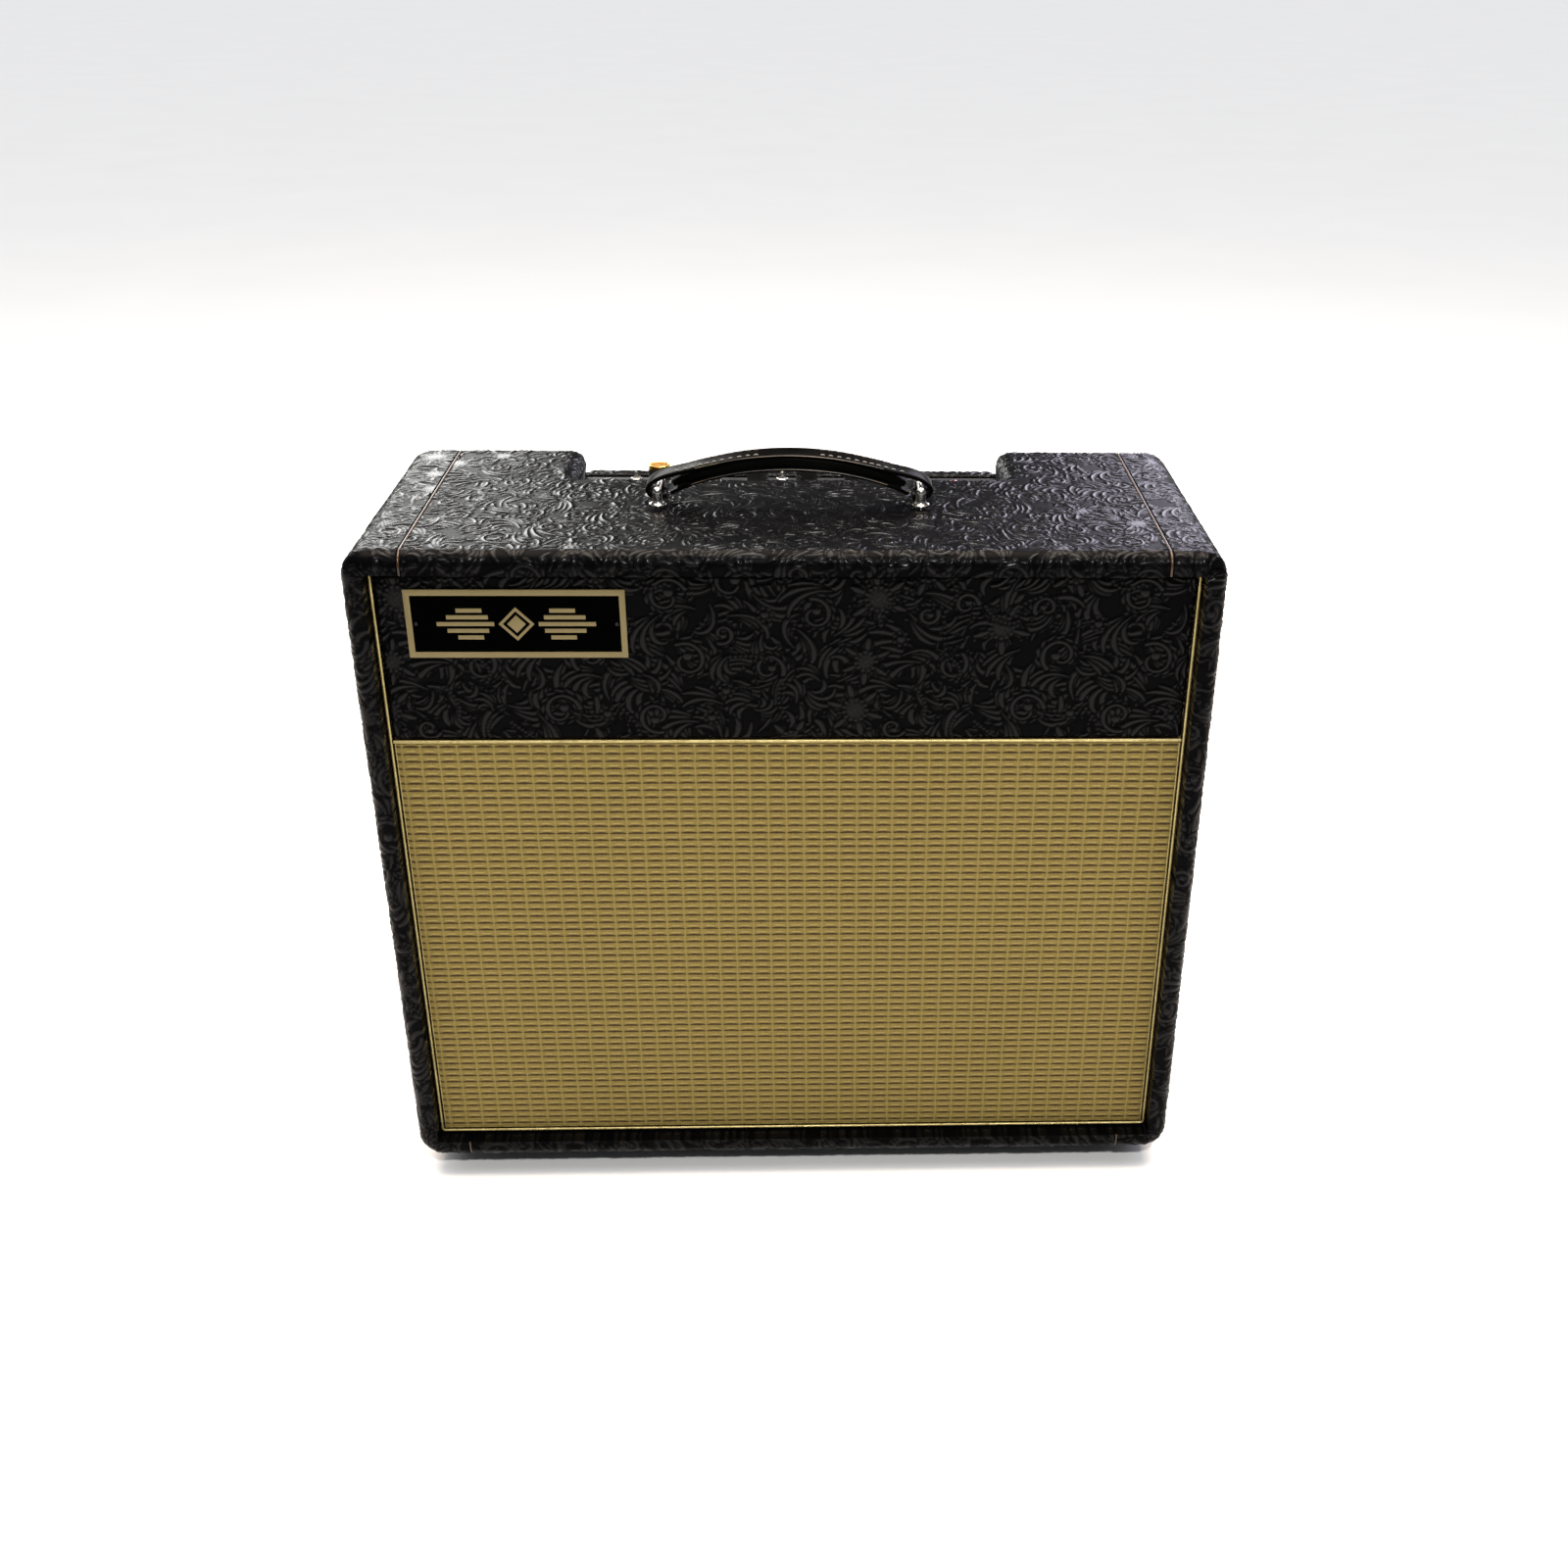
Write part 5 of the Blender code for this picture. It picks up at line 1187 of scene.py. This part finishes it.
# ---------------------------------------------------------------- controls
def build_controls():
    """Skirted, fluted knobs with gold caps, the plate's dial ticks, and the toggles' sleeves and nuts."""
    skirt = [(0, 522.6), (9.6, 522.6), (10.0, 523.0), (10.0, 524.6), (9.2, 525.4), (8.75, 526.4),
             (8.6, 527.5), (8.5, 531.0), (8.45, 534.2), (8.0, 534.9), (0, 534.9)]
    cap = [(0, 534.6), (8.1, 534.6), (8.5, 534.9), (8.55, 537.2), (8.3, 537.8), (7.7, 538.0),
           (7.2, 537.85), (6.9, 537.5), (0, 537.5)]
    face = [(0, 537.4), (6.7, 537.4), (6.85, 537.62), (6.2, 537.72), (5.2, 537.62), (2.0, 537.7),
            (0, 537.75)]
    for index, name in enumerate(CONTROLS):
        x = FIRST_KNOB_X + KNOB_PITCH * index
        body = f"{name}_control"
        shape = turned_shape(skirt, (x, CONTROL_Y, 0), "Z", 96, 32, 0.45, (526.0, 534.4))
        from_lists(f"{name}_knob_body", *shape, BLACK_PLASTIC, body, [f"{name}_knob"],
                   slot="knob_plastic")
        for part, profile, material in (("cap", cap, GOLD), ("face", face, GOLD_FACE)):
            from_lists(f"{name}_knob_{part}", *turned_shape(profile, (x, CONTROL_Y, 0), "Z", 64),
                       material, body, slot="knob_plastic")
        pointer = box_shape((x - 0.4, CONTROL_Y - 9.75, 524.4), (x + 0.4, CONTROL_Y - 8.6, 525.6))
        from_lists(f"{name}_knob_pointer", *pointer, IVORY, body, bevel=0.1, slot="knob_plastic")
    ticks = []
    for index in range(len(CONTROLS)):
        x = FIRST_KNOB_X + KNOB_PITCH * index
        for step in range(11):
            a, b = 11.6, 13.8 if step % 5 == 0 else 13.0
            angle = math.radians(30 * step - 150)
            ux, uy = math.sin(angle), -math.cos(angle)
            corner = [(x + ux * r - uy * w, CONTROL_Y + uy * r + ux * w) for r, w in
                      ((a, -0.22), (b, -0.22), (b, 0.22), (a, 0.22))]
            if max(c[1] for c in corner) > PLATE_REAR or min(c[1] for c in corner) < PLATE_FRONT:
                continue
            points = [(cx, cy, PLATE_TOP + dz) for dz in (-0.05, 0.08) for cx, cy in corner]
            ticks.append((points, [(3, 2, 1, 0), (4, 5, 6, 7), (0, 1, 5, 4), (1, 2, 6, 5),
                                   (2, 3, 7, 6), (3, 0, 4, 7)]))
    from_lists("dial_ticks", *joined(ticks), IVORY, slot="panel_black")
    for name, x in TOGGLES:
        place = (x, CONTROL_Y, PLATE_TOP)
        sleeve = turned_shape([(2.6, 0), (3.1, 0), (3.1, 5.6), (2.9, 5.9), (2.6, 5.9), (2.6, 0)],
                              place, "Z", 32)
        nut = turned_shape([(3.0, 3.4), (4.7, 3.4), (4.7, 5.2), (4.2, 5.6), (3.0, 5.6), (3.0, 3.4)],
                           place, "Z", 6)
        from_lists(f"{name}_switch_sleeve", *sleeve, CHROME, slot="chrome")
        from_lists(f"{name}_switch_nut", *nut, CHROME, bevel=0.12, slot="chrome")


def retouch(assignments):
    """Better materials on the CAD nodes that stay."""
    for material, names in assignments:
        for name in names:
            mesh_slots = nodes[name].material_slots
            for entry in mesh_slots:
                entry.material = material
            if not mesh_slots:
                nodes[name].data.materials.append(material)


# ---------------------------------------------------------------- insides and rear
def build_rear():
    """The back panels' screws in cup washers, and the fittings in the jack window."""
    screws, cups = [], []
    for x in (-278, -140, 0, 140, 278):
        for z in (390.5, 512.5, 48, 190):
            if abs(x) < 150 and z > 500:
                continue
            cups.append(washer_shape((x, BACK_REAR, z), "Y", 1, 6.2))
            screws.append(screw_shape((x, BACK_REAR + 0.4, z), "Y", 1, 3.4))
    from_lists("panel_screws", *joined(screws), ZINC, slot="chrome")
    from_lists("panel_cup_washers", *joined(cups), ZINC, slot="chrome")
    nut = turned_shape([(0, 108.0), (7.4, 108.0), (7.4, 110.6), (6.6, 111.2), (4.7, 111.2), (4.7, 108.4),
                        (0, 108.4)], (-60, 0, REAR_ROW_Z), "Y", 6)
    from_lists("speaker_jack_nut", *nut, CHROME, bevel=0.15, slot="chrome")
    tray_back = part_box("chassis_tray")[1][1] / MM
    jacks = []
    for x in (-84, -36):
        place = (x, tray_back, REAR_ROW_Z)
        jacks.append(turned_shape([(5.0, 0.2), (7.4, 0.2), (7.4, 2.4), (6.4, 3.0), (5.0, 3.0), (5.0, 0.2)],
                                  place, "Y", 6))
        jacks.append(turned_shape([(2.9, 0.2), (5.2, 0.2), (5.2, 3.8), (4.6, 4.4), (2.9, 4.4), (2.9, 0.2)],
                                  place, "Y", 32))
    from_lists("extra_jacks", *joined(jacks), CHROME, bevel=0.1, slot="chrome")
    fuse = turned_shape([(0, 0.2), (9.0, 0.2), (9.0, 1.6), (8.4, 2.2), (7.2, 2.4), (7.2, 9.2), (6.6, 10.0),
                         (1.6, 10.2), (1.4, 9.4), (0, 9.4)], (22, tray_back, REAR_ROW_Z), "Y", 40)
    from_lists("fuse_holder", *fuse, BLACK_PLASTIC, slot="knob_plastic")
    selector = turned_shape([(0, 0.2), (8.6, 0.2), (8.6, 1.2), (7.6, 1.6), (7.2, 9.0), (6.6, 9.6), (0, 9.6)],
                            (-8, tray_back, REAR_ROW_Z), "Y", 48, 12, 0.4, (2.0, 9.2))
    from_lists("impedance_selector", *selector, BLACK_PLASTIC, slot="knob_plastic")
    mark = box_shape((-8.5, tray_back + 9.5, 489.0), (-7.5, tray_back + 9.9, 493.4))
    from_lists("selector_mark", *mark, IVORY, bevel=0.1, slot="knob_plastic")


def build_valves():
    """Glass, base, anode and mica spacers, inside each valve's own box."""
    for name, length, base_material in (("first_preamp_valve", 60, CERAMIC),
                                        ("second_preamp_valve", 60, CERAMIC),
                                        ("third_preamp_valve", 60, CERAMIC),
                                        ("left_power_valve", 100, BLACK_PLASTIC),
                                        ("right_power_valve", 100, BLACK_PLASTIC)):
        low, high = (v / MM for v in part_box(name))
        cx, cy = (low[0] + high[0]) / 2, (low[1] + high[1]) / 2
        radius = (high[0] - low[0]) / 2
        bottom, top = low[2], high[2]
        body_r = radius * 0.93
        glass_top = top - 12
        glass = [(0, glass_top), (body_r * 0.96, glass_top), (body_r, glass_top - 3),
                 (body_r, bottom + body_r), (body_r * 0.94, bottom + body_r * 0.62),
                 (body_r * 0.72, bottom + body_r * 0.30), (body_r * 0.36, bottom + body_r * 0.14),
                 (2.2, bottom + 2.6), (1.0, bottom + 0.6), (0, bottom + 0.1)]
        from_lists(f"{name}_glass", *turned_shape(glass, (cx, cy, 0), "Z", 40), GLASS,
                   replaces=[name], slot="valve_glass")
        base = [(0, top - 0.3), (radius * 0.98, top - 0.3), (radius, top - 1.2), (radius, top - 11),
                (radius * 0.97, top - 12.4), (0, top - 12.4)]
        from_lists(f"{name}_base", *turned_shape(base, (cx, cy, 0), "Z", 40), base_material,
                   slot="knob_plastic")
        half_w, half_d = body_r * 0.55, body_r * 0.31
        z0, z1 = bottom + length * 0.25, glass_top - length * 0.12
        parts = [box_shape((cx - half_w, cy - half_d, z0), (cx + half_w, cy + half_d, z1))]
        for side in (-1, 1):
            rod = cx + side * half_w
            parts.append(box_shape((rod - 0.5, cy - 0.5, z0 - 3), (rod + 0.5, cy + 0.5, glass_top - 1)))
        from_lists(f"{name}_anode", *joined(parts), FIBRE, bevel=0.6, slot="valve_glass")
        reach = body_r * 0.84
        mica = [turned_shape([(0, z - 0.2), (reach, z - 0.2), (reach, z + 0.2), (0, z + 0.2)],
                             (cx, cy, 0), "Z", 24) for z in (z0 - 1.2, z1 + 1.2)]
        from_lists(f"{name}_spacers", *joined(mica), CERAMIC, slot="valve_glass")


def build_transformers():
    """A laminated stack between two squared, tapering end bells."""
    for name in ("output_transformer", "power_transformer"):
        low, high = (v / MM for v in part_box(name))
        w, d, h = high - low
        cx, cy, cz = (low + high) / 2
        stack = box_shape((cx - w * 0.24, low[1], low[2]), (cx + w * 0.24, high[1], high[2] - 0.4))
        from_lists(f"{name}_stack", *stack, STACK, replaces=[name], bevel=0.4, slot="black_steel")
        for side, label in ((-1, "left"), (1, "right")):
            a, b = cx + side * w * 0.245, cx + side * w * 0.5
            rings = [(a, 0.5, 0.47), (a + (b - a) * 0.12, 0.5, 0.47), (a + (b - a) * 0.72, 0.42, 0.39),
                     (b, 0.33, 0.28)]
            points = []
            for x, share_d, share_h in rings:
                for k in range(BELL_SIDES):
                    angle = 2 * math.pi * k / BELL_SIDES
                    c, s = math.cos(angle), math.sin(angle)
                    points.append((x, cy + math.copysign(abs(c) ** BELL_POWER, c) * d * share_d,
                                   cz + math.copysign(abs(s) ** BELL_POWER, s) * h * share_h))
            from_lists(f"{name}_{label}_bell", points, ringed_faces(len(rings), BELL_SIDES), BLACK_STEEL,
                       bevel=0.5, slot="black_steel")


def build_speaker():
    """The magnet with its plates and cover, and the bolts round the basket's rim."""
    low, high = (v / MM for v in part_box("speaker_magnet"))
    r, y0, y1 = (high[0] - low[0]) / 2, low[1], high[1]
    cover = [(0, y0 + 0.3), (r * 0.82, y0 + 0.3), (r * 0.82, y0 + 4.5), (r, y0 + 5), (r, y0 + 5.6),
             (r, y0 + 22), (r * 0.985, y0 + 23.0), (r * 0.90, y0 + 23.4), (r * 0.88, y0 + 25),
             (r * 0.88, y1 - 2.6), (r * 0.85, y1 - 0.9), (r * 0.80, y1), (r * 0.30, y1),
             (r * 0.27, y1 - 1.0), (r * 0.24, y1 - 6), (0, y1 - 6)]
    from_lists("magnet_assembly", *turned_shape(cover, (0, 0, SPEAKER_Z), "Y", 72), BLACK_STEEL,
               replaces=["speaker_magnet"], slot="black_steel")
    bolts = []
    for k in range(8):
        angle = math.radians(22.5 + 45 * k)
        x, z = BOLT_CIRCLE * math.cos(angle), SPEAKER_Z + BOLT_CIRCLE * math.sin(angle)
        bolts.append(turned_shape([(0, -78.0), (5.2, -78.0), (5.2, -76.9), (4.0, -76.7), (4.0, -73.6),
                                   (3.4, -73.1), (2.0, -73.1), (1.9, -71.0), (1.5, -70.4), (0, -70.4)],
                                  (x, 0, z), "Y", 18))
    from_lists("speaker_bolts", *joined(bolts), ZINC, slot="chrome")


def build_feet():
    """Tapered rubber feet, each with its screw in a recess."""
    profile = [(0, 3.4), (5.2, 3.4), (5.6, 2.9), (6.0, 0.4), (6.4, 0.0), (14.6, 0.0), (15.8, 0.5),
               (16.6, 1.6), (18.9, 17.6), (19.0, 18.8), (18.4, 19.5), (17.2, 19.7), (0, 19.7)]
    head = [(0, 3.3), (4.3, 3.3), (4.3, 2.9), (3.2, 2.1), (1.2, 1.8), (1.0, 2.5), (0, 2.5)]
    for side_x, left in ((-262, "left"), (262, "right")):
        for side_y, depth in ((-76, "front"), (92, "rear")):
            name = f"{depth}_{left}_foot"
            from_lists(f"{name}_rubber", *turned_shape(profile, (side_x, side_y, 0), "Z", 48), RUBBER,
                       replaces=[name], slot="black_rubber")
            from_lists(f"{name}_screw", *turned_shape(head, (side_x, side_y, 0), "Z", 20), ZINC,
                       slot="chrome")


# ---------------------------------------------------------------- studio
def area_light(name, place, target, size, power, colour):
    data = bpy.data.lights.new(name, "AREA")
    data.shape = "RECTANGLE"
    data.size, data.size_y = size
    data.energy = power
    data.color = colour
    lamp = bpy.data.objects.new(name, data)
    bpy.context.scene.collection.objects.link(lamp)
    lamp.location = place
    lamp.rotation_euler = (Vector(target) - Vector(place)).to_track_quat("-Z", "Y").to_euler()


def build_studio():
    """The camera, two windows behind, a key, an overhead panel, a soft sun and a pale floor."""
    data = bpy.data.cameras.new("camera")
    data.lens, data.sensor_width = 40.01, 36.0
    data.shift_x, data.shift_y = -0.0645, 0.0450
    camera = bpy.data.objects.new("camera", data)
    bpy.context.scene.collection.objects.link(camera)
    camera.location = (0.01792, -1.27676, 0.93448)
    camera.rotation_euler = (1.0677672, -0.0146351, -0.0372531)
    bpy.context.scene.camera = camera
    area_light("left_window", (-1.05, 2.0, 1.35), (-0.15, 0.0, 0.5), (1.2, 0.85), 28, (1.0, 1.0, 0.98))
    area_light("right_window", (1.05, 1.9, 1.35), (0.2, 0.0, 0.5), (1.1, 0.9), 19, (0.88, 0.84, 1.0))
    area_light("key", (0.25, -1.9, 2.1), (0, -0.1, 0.3), (0.16, 0.12), 44, (1.0, 0.99, 0.96))
    area_light("rear_glint", (0, 2.0, 2.6), (0, 0, 0.54), (0.3, 0.3), 12, (1.0, 0.99, 0.97))
    area_light("overhead", (0, 0.25, 2.1), (0, 0.2, 0.4), (2.4, 1.6), 95, (1.0, 0.80, 0.62))
    data = bpy.data.lights.new("soft_sun", "SUN")
    data.energy, data.angle = 2.3, 0.9
    sun = bpy.data.objects.new("soft_sun", data)
    bpy.context.scene.collection.objects.link(sun)
    bpy.context.scene.view_settings.view_transform = "Standard"
    world = bpy.data.worlds.new("studio")
    bpy.context.scene.world = world
    world.use_nodes = True
    sky = world.node_tree
    direction = sky.nodes.new("ShaderNodeSeparateXYZ")
    sky.links.new(sky.nodes.new("ShaderNodeTexCoord").outputs["Generated"], direction.inputs[0])
    level = sky.nodes.new("ShaderNodeMapRange")
    sky.links.new(direction.outputs["Z"], level.inputs[0])
    for index, number in ((1, 0.25), (2, 0.9), (3, 0.05), (4, 0.45)):
        level.inputs[index].default_value = number
    sky.nodes["Background"].inputs["Color"].default_value = (0.95, 0.96, 1.0, 1)
    sky.links.new(level.outputs[0], sky.nodes["Background"].inputs["Strength"])
    floor = Shader("pale_floor", roughness=0.85)
    floor.set("Base Color", floor.mix(floor.noise(3, 3), (0.80, 0.80, 0.80), (0.84, 0.84, 0.84)))
    mesh = bpy.data.meshes.new("floor")
    mesh.from_pydata([(-40, -12, 0), (40, -12, 0), (40, 60, 0), (-40, 60, 0)], [], [(0, 1, 2, 3)])
    mesh.materials.append(floor.material)
    ground = bpy.data.objects.new("floor", mesh)
    bpy.context.scene.collection.objects.link(ground)


build_studio()
covered_top()
covered_sides()
covered_bottom()
covered_panel("covered_fascia", PANEL_HALF, FASCIA_LOW, FASCIA_HIGH, PANEL_Y, FASCIA_REAR, FASCIA_STEP,
              ["fascia_board"], (310, 35), 2.2)
covered_panel("covered_upper_back", BACK_HALF, *UPPER_BACK, BACK_REAR, BACK_FRONT, BACK_STEP,
              ["upper_back_panel"], (40, 10), 3.0, JACK_WINDOW)
covered_cap()
covered_panel("covered_lower_back", BACK_HALF, *LOWER_BACK, BACK_REAR, BACK_FRONT, BACK_STEP,
              ["lower_back_panel"], (140, 60), 3.0)
for side, word in ((-1, "left"), (1, "right")):
    inlay(f"{word}_top_inlay", side, True, [f"{word}_inlay_piping"])
    inlay(f"{word}_bottom_inlay", side, False, [])
build_piping()
build_grille()
build_nameplate()
build_handle()
build_controls()
build_rear()
build_valves()
build_transformers()
build_speaker()
build_feet()
retouch([
    (PLY, ["grille_frame", "baffle_board"]),
    # The chassis tray's near-black steel is painted shade in the control recess.
    (DARK_STEEL, ["chassis_tray"]),
    (STEEL, ["chassis_base_plate"]),
    (PANEL_BLACK, ["control_plate"]),
    (TAG_BOARD, ["circuit_board"]),
    (ZINC, [f"{name}_pot" for name in CONTROLS]),
    (CHROME, ["bright_switch_body", "voicing_switch_body", "input_jack", "speaker_jack"]),
    (ZINC, ["bright_switch_lever", "voicing_switch_lever"]),
    (BLACK_PLASTIC, ["power_rocker", "standby_rocker", "power_switch_body", "standby_switch_body",
                     "mains_inlet"]),
    (LENS, ["pilot_lamp"]),
    (BLACK_STEEL, ["speaker_basket"]),
    (PAPER, ["speaker_cone"]),
    (BLACK_WIRE, ["speaker_lead"]),
])
